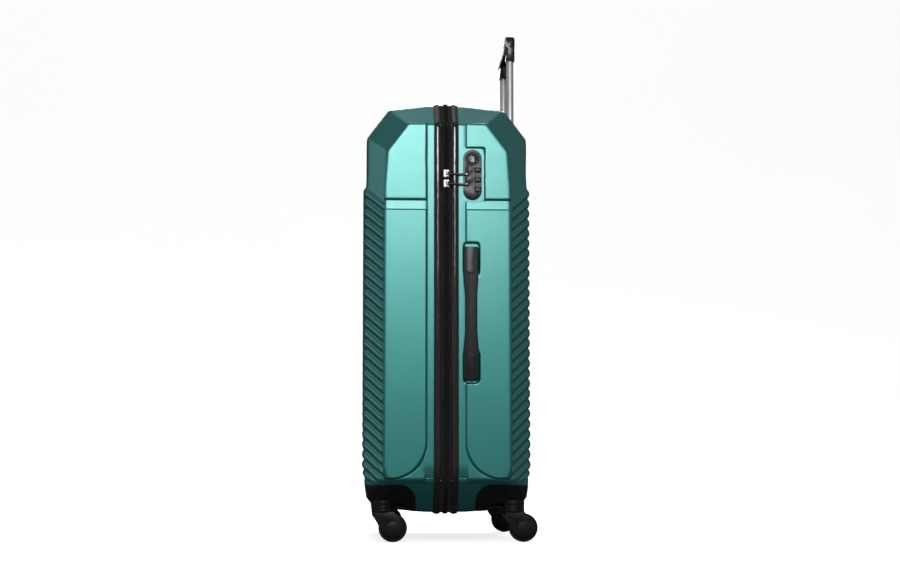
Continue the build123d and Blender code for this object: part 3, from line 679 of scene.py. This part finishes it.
def panelRelief(grid):
    # raised side panel with a rounded lower corner, and the strip pressed in across it
    x, y, z = grid[:, :, 0], grid[:, :, 1], grid[:, :, 2]
    onSide = smooth(caseShape["sideY"] - 3 * mm, caseShape["sideY"] - 1 * mm, np.abs(y))
    inner = caseShape["rimReach"] + 1 * mm
    foot = caseShape["bottom"] + caseShape["sideFoot"] + shellLook["panelFoot"]
    radius = shellLook["panelRound"]
    cx, cz = inner + radius, foot + radius
    corner = (x < cx) & (z < cz)
    away = np.where(corner, radius - np.hypot(x - cx, z - cz), np.minimum(x - inner, z - foot))
    raised = smooth(-1.7 * mm, 1.7 * mm, away) * shellLook["panelRaise"]
    groove = -0.25 * mm * np.exp(-((away + 1.9 * mm) / (1.3 * mm)) ** 2)
    high = shellLook["stripTop"]
    low = high - shellLook["stripHeight"]
    inStrip = smooth(low - 0.5 * mm, low + 0.7 * mm, z)
    inStrip = inStrip * (1 - smooth(high - 1.4 * mm, high + 0.9 * mm, z))
    floorSlope = 1 - 0.45 * (z - low) / shellLook["stripHeight"]
    inStrip = inStrip * smooth(-0.6 * mm, 0.6 * mm, away - 0.5 * mm)
    inStrip = inStrip * (0.55 + 0.45 * np.clip(1.55 - floorSlope, 0, 1))
    return onSide * (raised + groove - inStrip * shellLook["stripDepth"])


def footRelief(grid):
    # the side face turns softly into the lower facet
    x, y, z = grid[:, :, 0], np.abs(grid[:, :, 1]), grid[:, :, 2]
    level = caseShape["bottom"] + caseShape["sideFoot"]
    reach = shellLook["footReach"]
    away = np.where(z > level, z - level, (level - z) * 1.23)
    onWall = smooth(caseShape["sideY"] - caseShape["facetRun"], caseShape["sideY"] - 25 * mm, y)
    bend = np.clip(1 - away / reach, 0, 1) ** 2 * shellLook["footDepth"]
    reachIn = smooth(-2 * mm, 12 * mm, level + shellLook["panelFoot"] - z)
    bend = bend * np.where(x < caseShape["rimReach"] + 4 * mm, 1, reachIn)
    return -bend * onWall * (1 - smooth(95 * mm, 115 * mm, x))


def boxDistance(u, v, low, high, radius):
    # signed distance to a rounded rectangle, positive inside
    cu, cv = (low[0] + high[0]) / 2, (low[1] + high[1]) / 2
    du = np.abs(u - cu) - ((high[0] - low[0]) / 2 - radius)
    dv = np.abs(v - cv) - ((high[1] - low[1]) / 2 - radius)
    outside = np.hypot(np.maximum(du, 0), np.maximum(dv, 0))
    return radius - outside - np.minimum(np.maximum(du, dv), 0)


def sinkPockets(grid, relief):
    # seats for the lock and for both ends of the side handle
    x, y, z = grid[:, :, 0], grid[:, :, 1], grid[:, :, 2]
    near = (y < -caseShape["sideY"] + 3 * mm) * 1.0
    low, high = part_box("lock_case")
    left, right = caseShape["rimReach"] - 12 * mm, high[0] + 5.5 * mm
    d = boxDistance(x, z, (left, low[2] - 3 * mm), (right, high[2] + 4 * mm), 6 * mm)
    relief = relief * (1 - near * smooth(-0.5 * mm, 0.8 * mm, d))
    low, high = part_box("side_handle_grip")
    seatLow, seatHigh = (low[0] + 0.4 * mm, low[2] - 5 * mm), (high[0] + 2.2 * mm, high[2] + 8 * mm)
    d = boxDistance(x, z, seatLow, seatHigh, 7 * mm)
    middle = (low[2] + high[2]) / 2
    fade = smooth(62 * mm, 84 * mm, np.abs(z - middle))
    seat = near * smooth(-0.5 * mm, 0.8 * mm, d) * fade
    return relief * (1 - seat) - shellLook["handleSeat"] * seat


def topPocketRelief(grid):
    # seats for both ends of the top handle
    low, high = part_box("top_handle_grip")
    x, y, z = grid[:, :, 0], grid[:, :, 1], grid[:, :, 2]
    onTop = smooth(caseShape["top"] - 12 * mm, caseShape["top"] - 9 * mm, z)
    seatLow, seatHigh = (low[0] - 0.5 * mm, low[1] - 4 * mm), (high[0] - 1.5 * mm, high[1] + 4 * mm)
    d = boxDistance(x, y, seatLow, seatHigh, 8 * mm)
    fade = smooth(62 * mm, 84 * mm, np.abs(y))
    return -shellLook["topHandleSeat"] * smooth(-0.6 * mm, 1.0 * mm, d) * fade * onTop


def guardDepth(grid, guardBox):
    # how far a point lies inside the corner that the guards cover
    x, y, z = np.abs(grid[:, :, 0]), np.abs(grid[:, :, 1]), grid[:, :, 2]
    innerX, innerY, top = guardBox
    radius = shellLook["guardRound"]
    cx, cz = innerX + radius, top - radius
    corner = (x < cx) & (z > cz)
    inPlan = np.where(corner, radius - np.hypot(x - cx, z - cz), np.minimum(x - innerX, top - z))
    return np.minimum(inPlan, y - innerY)


def buildShell(name, depth, sign, body, withPockets):
    grid, facetShare = shellGrid(depth, withPockets)
    normals = gridNormals(grid)
    relief = ribRelief(grid, facetShare) + panelRelief(grid) + footRelief(grid)
    if withPockets:
        relief = sinkPockets(grid, relief) + topPocketRelief(grid)
    low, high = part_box(f"guard_{body}_lock_side")
    innerX = min(abs(low[0]), abs(high[0]))
    inside = guardDepth(grid, (innerX, abs(high[1]), high[2]))
    seat = smooth(-0.4 * mm, 0.4 * mm, inside)
    relief = relief * (1 - seat) - shellLook["guardSeat"] * seat
    grid = grid + normals * relief[:, :, None]
    rows, cols = grid.shape[:2]
    keep = inside < shellLook["guardLap"]
    faces = []
    for i in range(rows - 1):
        for j in range(cols - 1):
            if keep[i, j] or keep[i + 1, j] or keep[i, j + 1] or keep[i + 1, j + 1]:
                a = i * cols + j
                face = (a, a + 1, a + cols + 1, a + cols)
                faces.append(face if sign > 0 else face[::-1])
    verts = grid.reshape(-1, 3) * np.array([sign, 1, 1])
    obj = newMesh(name, verts, faces)
    dropLoose(obj)
    addModifier(obj, "SOLIDIFY", thickness=caseShape["wall"], offset=-1.0)
    print(name, "rows", rows, "columns", cols)
    return obj


def dropLoose(obj):
    mesh = obj.data
    used = np.zeros(len(mesh.vertices), bool)
    for poly in mesh.polygons:
        for v in poly.vertices:
            used[v] = True
    index = -np.ones(len(mesh.vertices), int)
    index[used] = np.arange(used.sum())
    verts = [mesh.vertices[i].co.copy() for i in range(len(mesh.vertices)) if used[i]]
    faces = [tuple(index[v] for v in poly.vertices) for poly in mesh.polygons]
    mesh.clear_geometry()
    mesh.from_pydata(verts, [], faces)
    mesh.update()
    mesh.polygons.foreach_set("use_smooth", [True] * len(mesh.polygons))


backShell = buildShell("backShell", caseShape["backDepth"], 1, "back", True)
finished(backShell, "back_half", mats["shell"], "shell", "back_shell")
frontShell = buildShell("frontShell", caseShape["frontDepth"], -1, "front", False)
finished(frontShell, "lid", mats["shell"], "shell", "front_shell")
print("shells ready")


def rimPath(spacing):
    # closed path round the case in the parting plane, with outward normals
    low, high = caseShape["bottom"], caseShape["top"]
    foot, shoulder = low + caseShape["sideFoot"], high - caseShape["sideShoulder"]
    y0, flat = caseShape["sideY"], caseShape["sideY"] - caseShape["facetRun"]
    corners = [
        (-flat, low), (flat, low), (y0, foot), (y0, shoulder),
        (flat, high), (-flat, high), (-y0, shoulder), (-y0, foot),
    ]
    corners = [np.array(c) for c in corners]
    points = []
    count = len(corners)
    for i in range(count):
        cut = 20 * mm if i in (2, 7) else 5.8 * mm  # the bend above the guards is softer
        here, before, after = corners[i], corners[i - 1], corners[(i + 1) % count]
        a = (before - here) / np.linalg.norm(before - here)
        b = (after - here) / np.linalg.norm(after - here)
        for t in np.linspace(0, 1, 9):
            bend = ((1 - t) ** 2 * (here + a * cut) + 2 * t * (1 - t) * here
                    + t * t * (here + b * cut))
            points.append(bend)
    points = np.array(points + [points[0]])
    gaps = np.linalg.norm(np.diff(points, axis=0), axis=1)
    along = np.concatenate([[0], np.cumsum(gaps)])
    number = int(along[-1] / spacing)
    at = np.linspace(0, along[-1], number, endpoint=False)
    path = np.stack([np.interp(at, along, points[:, k]) for k in (0, 1)], axis=1)
    tangent = np.roll(path, -1, axis=0) - np.roll(path, 1, axis=0)
    tangent /= np.linalg.norm(tangent, axis=1, keepdims=True)
    normal = np.stack([tangent[:, 1], -tangent[:, 0]], axis=1)
    return path, normal, at


def ringSweep(name, profile, spacing, sign, wave=None):
    # sweeps a closed profile of (x, rise) round the rim
    path, normal, at = rimPath(spacing)
    verts = []
    for i in range(len(path)):
        for j, (x, rise) in enumerate(profile):
            lift = rise + (wave(at[i], x, rise) if wave else 0.0)
            y, z = path[i] + normal[i] * lift
            verts.append((sign * x, y, z))
    faces = gridFaces(len(path), len(profile), True, True)
    if sign > 0:
        faces = [f[::-1] for f in faces]
    return newMesh(name, verts, faces)


zipLook = {
    "toothPitch": 2.0 * mm,
    "toothDepth": 0.8 * mm,
    "coilWidth": 3.9 * mm,
    "tapeWidth": 10.0 * mm,
    "gap": 0.2 * mm,
}
pipingShape = {
    "width": 13 * mm,
    "rise": 3.5 * mm,
    "steps": 12,
    "stitchDip": 0.5 * mm,
    "slowPucker": 0.22 * mm,
    "quickPucker": 0.14 * mm,
}


def pipingProfile():
    inner, width, rise = caseShape["setback"], pipingShape["width"], pipingShape["rise"]
    points = [(inner + 0.2 * mm, -0.6 * mm)]
    for k in range(pipingShape["steps"] + 1):
        t = k / pipingShape["steps"]
        bulge = math.sin(math.pi * t) ** 0.3
        dip = pipingShape["stitchDip"] * math.exp(-((t - 0.8) / 0.06) ** 2)
        crown = 0.95 + 0.05 * math.cos(2 * math.pi * (t - 0.4))
        points.append((inner + width * t, rise * bulge * crown - dip))
    points.append((inner + width - 0.2 * mm, -0.6 * mm))
    return points


def pipingWave(at, x, rise):
    # the vinyl puckers a little between stitches and at the bends
    if rise <= 0:
        return 0.0
    slow = noise.noise(Vector((at * 18, x * 60, 3.1)))
    quick = noise.noise(Vector((at * 90, x * 220, 7.7)))
    return pipingShape["slowPucker"] * slow + pipingShape["quickPucker"] * quick


def coilWave(at, x, rise):
    # the coil's turns, one dip for each tooth
    if rise < 1.5 * mm:
        return 0.0
    return -zipLook["toothDepth"] * (0.5 + 0.5 * math.cos(2 * math.pi * at / zipLook["toothPitch"]))


for half, sign, body in (("back", 1, "back_half"), ("front", -1, "lid")):
    piping = ringSweep(f"{half}Piping", pipingProfile(), 4 * mm, sign, pipingWave)
    finished(piping, body, mats["piping"], "piping", f"{half}_piping")
    gap, wide, coilWide = zipLook["gap"], zipLook["tapeWidth"], zipLook["coilWidth"]
    tapeProfile = [
        (gap, -0.5 * mm), (gap, 0.7 * mm), (3 * mm, 0.8 * mm),
        (6 * mm, 0.55 * mm), (wide, 0.8 * mm), (wide, -0.5 * mm),
    ]
    tape = ringSweep(f"{half}ZipTape", tapeProfile, 5 * mm, sign)
    finished(tape, body, mats["zipTape"], "zip_tape", f"{half}_zip_chain")
    coilProfile = [
        (gap, 0.6 * mm), (gap, 2.5 * mm), (1.2 * mm, 3.1 * mm),
        (2.6 * mm, 2.9 * mm), (coilWide, 1.6 * mm), (coilWide, 0.6 * mm),
    ]
    coil = ringSweep(f"{half}ZipCoil", coilProfile, zipLook["toothPitch"] / 4, sign, coilWave)
    finished(coil, body, mats["zipCoil"], "zip_tape")
print("zip ready")


softLook = {
    "liningGap": 6.8 * mm,
    "wrinkle": 2.4 * mm,
    "wrinkleScale": 9.0,
    "liningStep": 3,
    "liningWidth": 0.62,
    "strapThick": 1.3 * mm,
    "strapWidth": 25 * mm,
    "strapSag": 5 * mm,
    "hingeReach": 27 * mm,
}


def buildLining(name, depth, sign, limits):
    # cloth glued into the shell, a little loose between the glued edges
    grid = shellGrid(depth, False)[0]
    normals = gridNormals(grid)
    step = softLook["liningStep"]
    grid, normals = grid[::step, ::2], normals[::step, ::2]
    rows, cols = grid.shape[:2]
    relief = np.zeros((rows, cols))
    for i in range(rows):
        for j in range(cols):
            x, y, z = grid[i, j]
            folds = noise.noise(Vector((x * 14, y * 6, z * softLook["wrinkleScale"])))
            creases = abs(noise.noise(Vector((x * 30 + 5, y * 22, z * 24))))
            relief[i, j] = softLook["wrinkle"] * (0.5 + 0.5 * folds) + 0.8 * mm * creases
    grid = grid - normals * (softLook["liningGap"] + relief)[:, :, None]
    low, high = limits
    wave = 0.9 * relief[:, :, None]
    grid = np.clip(grid, np.array(low) + wave, np.array(high) - wave)
    verts = grid.reshape(-1, 3) * np.array([sign, 1, 1])
    faces = gridFaces(rows, cols)
    return newMesh(name, verts, faces if sign < 0 else [f[::-1] for f in faces])


for half, sign, body in (("back", 1, "back_half"), ("front", -1, "lid")):
    low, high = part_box(f"{half}_lining")
    reach = max(abs(low[0]), abs(high[0]))
    near = min(abs(low[0]), abs(high[0]))
    limits = ((near, low[1], low[2]), (reach, high[1], high[2]))
    lining = buildLining(f"{half}LiningCloth", caseShape[f"{half}Depth"], sign, limits)
    finished(lining, body, mats["lining"], "lining", f"{half}_lining")


def ribbon(name, points, width, upHint, thickness):
    # flat webbing along a line, wide in the direction closest to upHint
    pts = [Vector(p) for p in points]
    verts = []
    for i, p in enumerate(pts):
        way = (pts[min(i + 1, len(pts) - 1)] - pts[max(i - 1, 0)]).normalized()
        wide = Vector(upHint) - way * way.dot(Vector(upHint))
        wide.normalize()
        for k in range(5):
            verts.append(p + wide * width * (k / 4 - 0.5))
    obj = newMesh(name, verts, gridFaces(len(pts), 5))
    addModifier(obj, "SOLIDIFY", thickness=thickness, offset=0.0)
    return obj


strapLow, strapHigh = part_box("packing_straps")
strapX = strapLow[0] + 1.4 * mm
strapMiddle = (strapLow[2] + strapHigh[2]) / 2
strapRise = (strapHigh[2] - strapLow[2]) / 2 - softLook["strapWidth"] / 2
for name, tilt, lift in (("strapUp", 1, 0.0), ("strapDown", -1, 1.9 * mm)):
    points = []
    for t in np.linspace(-1, 1, 49):
        sag = softLook["strapSag"] * (1 - t * t) * (0.6 + 0.4 * math.sin(5 * t + tilt))
        x = strapX + lift + sag * (1 - math.exp(-30 * t * t)) * 0.5
        points.append((x, strapHigh[1] * t, strapMiddle + tilt * strapRise * t))
    strap = ribbon(name, points, softLook["strapWidth"], (0, 0, 1), softLook["strapThick"])
    finished(strap, "back_half", mats["strap"], "strap", *(["packing_straps"] if tilt > 0 else []))

hingeLow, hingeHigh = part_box("fabric_hinge")
hingeVerts = []
hingeRows, hingeCols = 61, 25
for i in range(hingeRows):
    z = hingeLow[2] + (hingeHigh[2] - hingeLow[2]) * i / (hingeRows - 1)
    for j in range(hingeCols):
        t = 2 * j / (hingeCols - 1) - 1
        bulge = 1.2 * mm * (1 - t * t) * (0.7 + 0.3 * math.sin(z * 90))
        hingeVerts.append((softLook["hingeReach"] * t, hingeLow[1] + 0.4 * mm - bulge, z))
hinge = newMesh("fabricHinge", hingeVerts, gridFaces(hingeRows, hingeCols))
setMaterial(hinge, mats["lining"])
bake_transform(hinge)
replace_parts(hinge, "fabric_hinge")
print("soft pieces ready")


gripLook = {
    "endWidth": 26.4 * mm,
    "waistWidth": 21.4 * mm,
    "endLength": 50 * mm,
    "waistRun": 40 * mm,
    "endLow": -1.5 * mm,
    "endTop": 4.7 * mm,
    "thick": 6.5 * mm,
    "corner": 2.2 * mm,
    "crown": 0.7 * mm,
    "sections": 70,
    "sideRise": 12 * mm,
    "topRise": 14.5 * mm,
    "topX": 68 * mm,
}


def buildGrip(name, length, rise, place):
    # place turns (along, across, out) into a point of the case
    half = length / 2
    count, crown = gripLook["sections"], gripLook["crown"]
    verts = []
    around = []
    for quarter in range(4):
        for k in range(5):
            a = math.radians(90 * quarter + 90 * k / 4)
            around.append((math.cos(a), math.sin(a)))
    for i in range(count):
        s = -half + length * i / (count - 1)
        toEnd = half - abs(s)
        waistEnd = gripLook["endLength"] + gripLook["waistRun"]
        full = 1 - float(smooth(gripLook["endLength"], waistEnd, toEnd))
        width = gripLook["waistWidth"] + (gripLook["endWidth"] - gripLook["waistWidth"]) * full
        top = gripLook["endTop"] + (rise - gripLook["endTop"]) * (1 - (s / half) ** 2)
        lift = float(smooth(gripLook["endLength"] - 2 * mm, gripLook["endLength"] + 18 * mm, toEnd))
        bottom = gripLook["endLow"] + (rise - gripLook["thick"] - gripLook["endLow"]) * lift
        bottom = min(bottom, top - 4 * mm)
        ease = min(toEnd, 1.2 * mm) / (1.2 * mm)
        shrink = 0.8 * mm * (1 - math.sqrt(1 - (1 - ease) ** 2)) if ease < 1 else 0.0
        w, low, high = width / 2 - shrink, bottom + shrink, top - shrink
        r = min(gripLook["corner"], (high - low) / 2.2)
        for cx, cy in around:
            u = (w - r) * (1 if cx > 1e-6 or (abs(cx) < 1e-6 and cy > 0) else -1) + r * cx
            v = (high - r if cy > -1e-6 else low + r) + r * cy
            arch = crown * (1 - (u / (width / 2)) ** 2) if cy > -1e-6 else 0.0
            verts.append(place(s, u, v - crown * (cy > -1e-6) + arch))
    n = len(around)
    faces = gridFaces(count, n, False, True)
    faces.append(tuple(range(n)))
    faces.append(tuple((count - 1) * n + k for k in range(n))[::-1])
    obj = newMesh(name, verts, faces)
    fixNormals(obj)
    return obj


def fixNormals(obj):
    # joins doubled points and turns every face outwards
    data = bmesh.new()
    data.from_mesh(obj.data)
    bmesh.ops.remove_doubles(data, verts=data.verts, dist=1e-6)
    bmesh.ops.recalc_face_normals(data, faces=data.faces)
    data.to_mesh(obj.data)
    data.free()


def gripPlace(node, top):
    # length of a grip, and the function that puts (along, across, out) on its face of the case
    low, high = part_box(node)
    x0 = (low[0] + high[0]) / 2
    if not top:
        z0 = (low[2] + high[2]) / 2
        return high[2] - low[2], lambda s, u, v: (x0 + u, -caseShape["sideY"] - v, z0 + s)
    tilt = math.atan2(8.5 * mm, caseShape["backDepth"] - 79 * mm)
    x0 = gripLook["topX"]
    z0 = caseShape["top"] - (x0 - caseShape["rimReach"]) * math.tan(tilt)
    c, d = math.cos(tilt), math.sin(tilt)
    return high[1] - low[1], lambda s, u, v: (x0 + u * c + v * d, s, z0 - u * d + v * c)


# painted shade of the grooves round the handle caps: thin dark strips laid on the grip
capGrooveShadeLook = {
    "capLength": 48 * mm,
    "capWidth": 14.6 * mm,
    "grooveShadeWidth": 1.3 * mm,
    "grooveShadeRise": 0.12 * mm,
    "endInset": 1.5 * mm,
    "bendSteps": 24,
}


def buildSeam(name, length, rise, place, sign):
    # painted shade: a thin dark strip just above the grip top, along the groove round the cap
    half = length / 2
    radius = capGrooveShadeLook["capWidth"] / 2
    end, bend = half - capGrooveShadeLook["endInset"], half - capGrooveShadeLook["capLength"] + radius
    line = [(end, -radius)]
    for k in range(capGrooveShadeLook["bendSteps"] + 1):
        a = math.radians(-90 - 180 * k / capGrooveShadeLook["bendSteps"])
        line.append((bend + radius * math.cos(a), radius * math.sin(a)))
    line.append((end, radius))
    line = [np.array(p) for p in line]
    dense = []
    for a, b in zip(line, line[1:]):
        steps = max(1, int(np.linalg.norm(b - a) / (2 * mm)))
        dense += [a + (b - a) * k / steps for k in range(steps)]
    dense.append(line[-1])
    verts = []
    for i, p in enumerate(dense):
        way = dense[min(i + 1, len(dense) - 1)] - dense[max(i - 1, 0)]
        side = np.array([-way[1], way[0]]) / np.linalg.norm(way)
        for shift in (-0.5, 0.5):
            s, u = p + side * capGrooveShadeLook["grooveShadeWidth"] * shift
            top = gripLook["endTop"] + (rise - gripLook["endTop"]) * (1 - (s / half) ** 2)
            verts.append(place(sign * s, u, top + capGrooveShadeLook["grooveShadeRise"]))
    grooveShade = newMesh(name, verts, gridFaces(len(dense), 2))
    addModifier(grooveShade, "SOLIDIFY", thickness=0.2 * mm, offset=0.0)
    return grooveShade


for name in ("side", "top"):
    length, place = gripPlace(f"{name}_handle_grip", name == "top")
    bar = buildGrip(f"{name}GripBar", length, gripLook[f"{name}Rise"], place)
    finished(bar, f"{name}_handle", mats["handle"], "handle", f"{name}_handle_grip")
for name in ("side", "top"):
    length, place = gripPlace(f"{name}_handle_grip", name == "top")
    for sign, end in ((1, "A"), (-1, "B")):
        # painted shade in the grooves round both caps of each handle
        grooveShade = buildSeam(f"{name}CapSeam{end}", length, gripLook[f"{name}Rise"], place, sign)
        finished(grooveShade, f"{name}_handle", mats["lockDark"], "handle_cap")


trolleyGripLook = {
    "front": 118.6 * mm,
    "legX": 128.5 * mm,
    "legRadius": 9.6 * mm,
    "legY": 74 * mm,
    "barHeight": 23 * mm,
    "plateBulge": 1.4 * mm,
    "plateHeight": 27 * mm,
    "plateInset": 4 * mm,
}


def buildGripPlate():
    # satin plate along the front of the trolley's grip
    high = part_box("trolley_grip")[1]
    rows, columns = 13, 61
    half = high[1] - trolleyGripLook["plateInset"]
    verts = []
    for i in range(rows):
        v = i / (rows - 1)
        for j in range(columns):
            t = 2 * j / (columns - 1) - 1
            reach = 1 - abs(t) ** 10
            z = high[2] - 1.2 * mm - trolleyGripLook["plateHeight"] * v * (0.8 + 0.2 * reach)
            bow = trolleyGripLook["plateBulge"] * math.sin(math.pi * min(1, 0.12 + 0.88 * v))
            x = trolleyGripLook["front"] - 0.1 * mm - bow * (0.3 + 0.7 * reach)
            verts.append((x + 2.6 * mm * (1 - v) ** 3, half * t, z))
    plate = newMesh("gripPlate", verts, [face[::-1] for face in gridFaces(rows, columns)])
    addModifier(plate, "SOLIDIFY", thickness=1.0 * mm, offset=-1.0)
    return plate


finished(buildGripPlate(), "trolley_handle", mats["trim"], "chrome_trim", "trolley_grip_trim")


def slimGrip(mesh):
    # the bar's front face comes back to the legs, whose round ends stay as they are
    look = trolleyGripLook
    low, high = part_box("trolley_grip")
    squeeze = (look["legX"] - look["front"]) / (look["legX"] - low[0])
    for vertex in mesh.vertices:
        x, y, z = vertex.co
        onLeg = math.hypot(x - look["legX"], abs(y) - look["legY"]) < look["legRadius"]
        if x < look["legX"] and z > high[2] - look["barHeight"] and not onLeg:
            vertex.co.x = look["legX"] - (look["legX"] - x) * squeeze


def softened(node, body, material, slot, width):
    # the piece as carried over, with its edges eased
    source = next(o for o in bpy.data.objects if o.name == node)
    mesh = source.data.copy()
    mesh.materials.clear()
    if node == "trolley_grip":
        slimGrip(mesh)
    piece = bpy.data.objects.new(node + ".soft", mesh)
    scene.collection.objects.link(piece)
    addModifier(piece, "WELD", merge_threshold=0.00001)
    addModifier(
        piece, "BEVEL", width=width, segments=3, limit_method="ANGLE",
        angle_limit=math.radians(32), use_clamp_overlap=True, harden_normals=True,
    )
    mesh.polygons.foreach_set("use_smooth", [True] * len(mesh.polygons))
    mesh.update()
    return finished(piece, body, material, slot, node)


bodyOf = {node: body
          for body, nodes in frame["record"]["behaviour"]["bodies"].items() for node in nodes}
slotOf = {row["node"]: row["material_slot"] for row in frame["record"]["subparts"]}
softWidths = {
    "guard": (mats["guard"], 1.0 * mm),
    "fork": (mats["fork"], 1.0 * mm),
    "tyre": (mats["tyre"], 0.5 * mm),
    "hub": (mats["hub"], 0.5 * mm),
    "hub_cap": (mats["hub"], 0.6 * mm),
    "screw": (mats["steel"], 0.3 * mm),
    "lock": (mats["lock"], 1.2 * mm),
    "dial": (mats["lock"], 0.5 * mm),
    "lock_steel": (mats["steel"], 0.2 * mm),
    "key": (mats["lockDark"], 0.3 * mm),
    "handle": (mats["handle"], 1.5 * mm),
    "handle_cap": (mats["handleCap"], 0.7 * mm),
    "tube": (mats["tube"], 0.2 * mm),
    "trolley_grip": (mats["grip"], 2.0 * mm),
    "zip_metal": (mats["chrome"], 0.5 * mm),
    "bracket": (mats["bracket"], 0.8 * mm),
}
alreadyMade = {name for piece in bpy.data.objects for name in piece.get("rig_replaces", [])}
for node in sorted(bodyOf):
    if node not in alreadyMade:
        material, width = softWidths[slotOf[node]]
        softened(node, bodyOf[node], material, slotOf[node], width)
print("hardware ready")


dialLook = {
    "digitSize": 4.4 * mm,
    "digitLead": math.radians(16),
    "digitRise": 0.06 * mm,
}


def buildDialDigits(number):
    # numbers round the dial's rim, one every tenth of a turn
    low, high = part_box(f"lock_dial_{number}")
    x, y, z = [(a + b) / 2 for a, b in zip(low, high)]
    radius = (high[0] - low[0]) / 2
    for digit in range(10):
        curve = bpy.data.curves.new(f"dial{number}Digit{digit}", "FONT")
        curve.body = str(digit)
        curve.size = dialLook["digitSize"]
        curve.align_x = "CENTER"
        curve.align_y = "CENTER"
        curve.extrude = dialLook["digitRise"]
        curve.resolution_u = 2
        piece = bpy.data.objects.new(f"dial{number}Digit{digit}", curve)
        scene.collection.objects.link(piece)
        turn = 2 * math.pi * digit / 10 + dialLook["digitLead"]
        piece.location = (x + radius * math.sin(turn), y - radius * math.cos(turn), z)
        piece.rotation_euler = (math.radians(90), 0, turn)
        finished(piece, f"dial_{number}", mats["index"], "lock")


for number in (1, 2, 3):
    buildDialDigits(number)
print("dial numbers ready")


# every light: where it stands, what it points at, its size in metres and its power in watts
studioLights = {
    "keyLight": {"place": (-0.22, -3.2, 1.62), "aim": (0.0, 0.0, 0.62),
                 "size": (1.2, 0.95), "power": 30.0},
    "stripLight": {"place": (0.15, -3.2, 1.12), "aim": (0.0, -0.25, 0.45),
                   "size": (0.45, 0.55), "power": 3.5},
    "fillLeft": {"place": (-3.6, -0.9, 1.3), "aim": (0.0, 0.0, 0.4),
                 "size": (1.6, 1.6), "power": 5.5},
    "fillRight": {"place": (3.6, -0.9, 1.3), "aim": (0.0, 0.0, 0.4),
                  "size": (1.6, 1.6), "power": 0.8},
    "fillTop": {"place": (-0.3, 0.1, 3.2), "aim": (0.0, 0.0, 0.5),
                "size": (2.0, 1.6), "power": 3.6},
    "fillBack": {"place": (0.3, 2.1, 2.5), "aim": (0.0, 0.0, 0.5),
                 "size": (1.6, 1.0), "power": 34.0},
    "backCard": {"place": (-0.15, 2.0, 1.5), "aim": (0.1, 0.0, 0.93),
                 "size": (0.7, 0.6), "power": 7.0},
}
worldGrey = 0.20

# the camera: sensor and lens in millimetres, place in metres, tilt and turn in degrees
cameraLook = {
    "sensor": 36.0,
    "lens": 66.56,
    "place": (-0.141, -3.150, 0.143),
    "tiltUp": 5.748,
    "turn": -2.9095,
}

stageShape = {
    "halfWidth": 7.0,
    "frontY": -6.0,
    "bendY": 2.2,
    "bendRadius": 1.6,
    "height": 5.0,
}


def addStage():
    # pale to the camera only, so that it throws no light on the case
    material, tree, shader = newMaterial("stageWhite")
    grain = useGroup(tree, mouldGrain, Size=120.0, Unevenness=3.0)
    pale = mixColour(tree, grain.outputs["Patch"], (0.84, 0.84, 0.84), (0.88, 0.88, 0.88))
    seen = tree.nodes.new("ShaderNodeLightPath").outputs["Is Camera Ray"]
    link(tree, mixColour(tree, seen, (0.12, 0.12, 0.12), pale), shader.inputs["Base Color"])
    glow = mixColour(tree, seen, (0.0, 0.0, 0.0), (0.78, 0.78, 0.78))
    link(tree, glow, shader.inputs["Emission Color"])
    shader.inputs["Emission Strength"].default_value = 1.0
    shader.inputs["Roughness"].default_value = 0.7
    radius, bendY = stageShape["bendRadius"], stageShape["bendY"]
    profile = [(stageShape["frontY"], 0.0)]
    for a in np.linspace(0, math.pi / 2, 13):
        profile.append((bendY + radius * math.sin(a), radius - radius * math.cos(a)))
    profile.append((bendY + radius, stageShape["height"]))
    verts = []
    for y, z in profile:
        verts += [(-stageShape["halfWidth"], y, z), (stageShape["halfWidth"], y, z)]
    stage = newMesh("stageSweep", verts, gridFaces(len(profile), 2))
    setMaterial(stage, material)


def addArea(name, place, aim, size, power):
    light = bpy.data.lights.new(name, "AREA")
    light.shape = "RECTANGLE"
    light.size, light.size_y = size
    light.energy = power
    obj = bpy.data.objects.new(name, light)
    obj.location = place
    way = Vector(aim) - Vector(place)
    obj.rotation_euler = way.to_track_quat("-Z", "Y").to_euler()
    scene.collection.objects.link(obj)


def addCamera():
    data = bpy.data.cameras.new("camera")
    data.sensor_width = cameraLook["sensor"]
    data.lens = cameraLook["lens"]
    cam = bpy.data.objects.new("camera", data)
    cam.location = cameraLook["place"]
    tilt, turn = math.radians(90 + cameraLook["tiltUp"]), math.radians(cameraLook["turn"])
    cam.rotation_euler = (tilt, 0.0, turn)
    scene.collection.objects.link(cam)
    scene.camera = cam


def addWorld():
    world = bpy.data.worlds.new("studioWorld")
    scene.world = world
    world.use_nodes = True
    tree = world.node_tree
    back = tree.nodes["Background"]
    seen = tree.nodes.new("ShaderNodeLightPath").outputs["Is Camera Ray"]
    grey = (worldGrey,) * 3
    link(tree, mixColour(tree, seen, grey, (1.0, 1.0, 1.0)), back.inputs["Color"])
    back.inputs["Strength"].default_value = 1.0


addStage()
for name, light in studioLights.items():
    addArea(name, **light)
addCamera()
addWorld()
scene.view_settings.view_transform = "Standard"
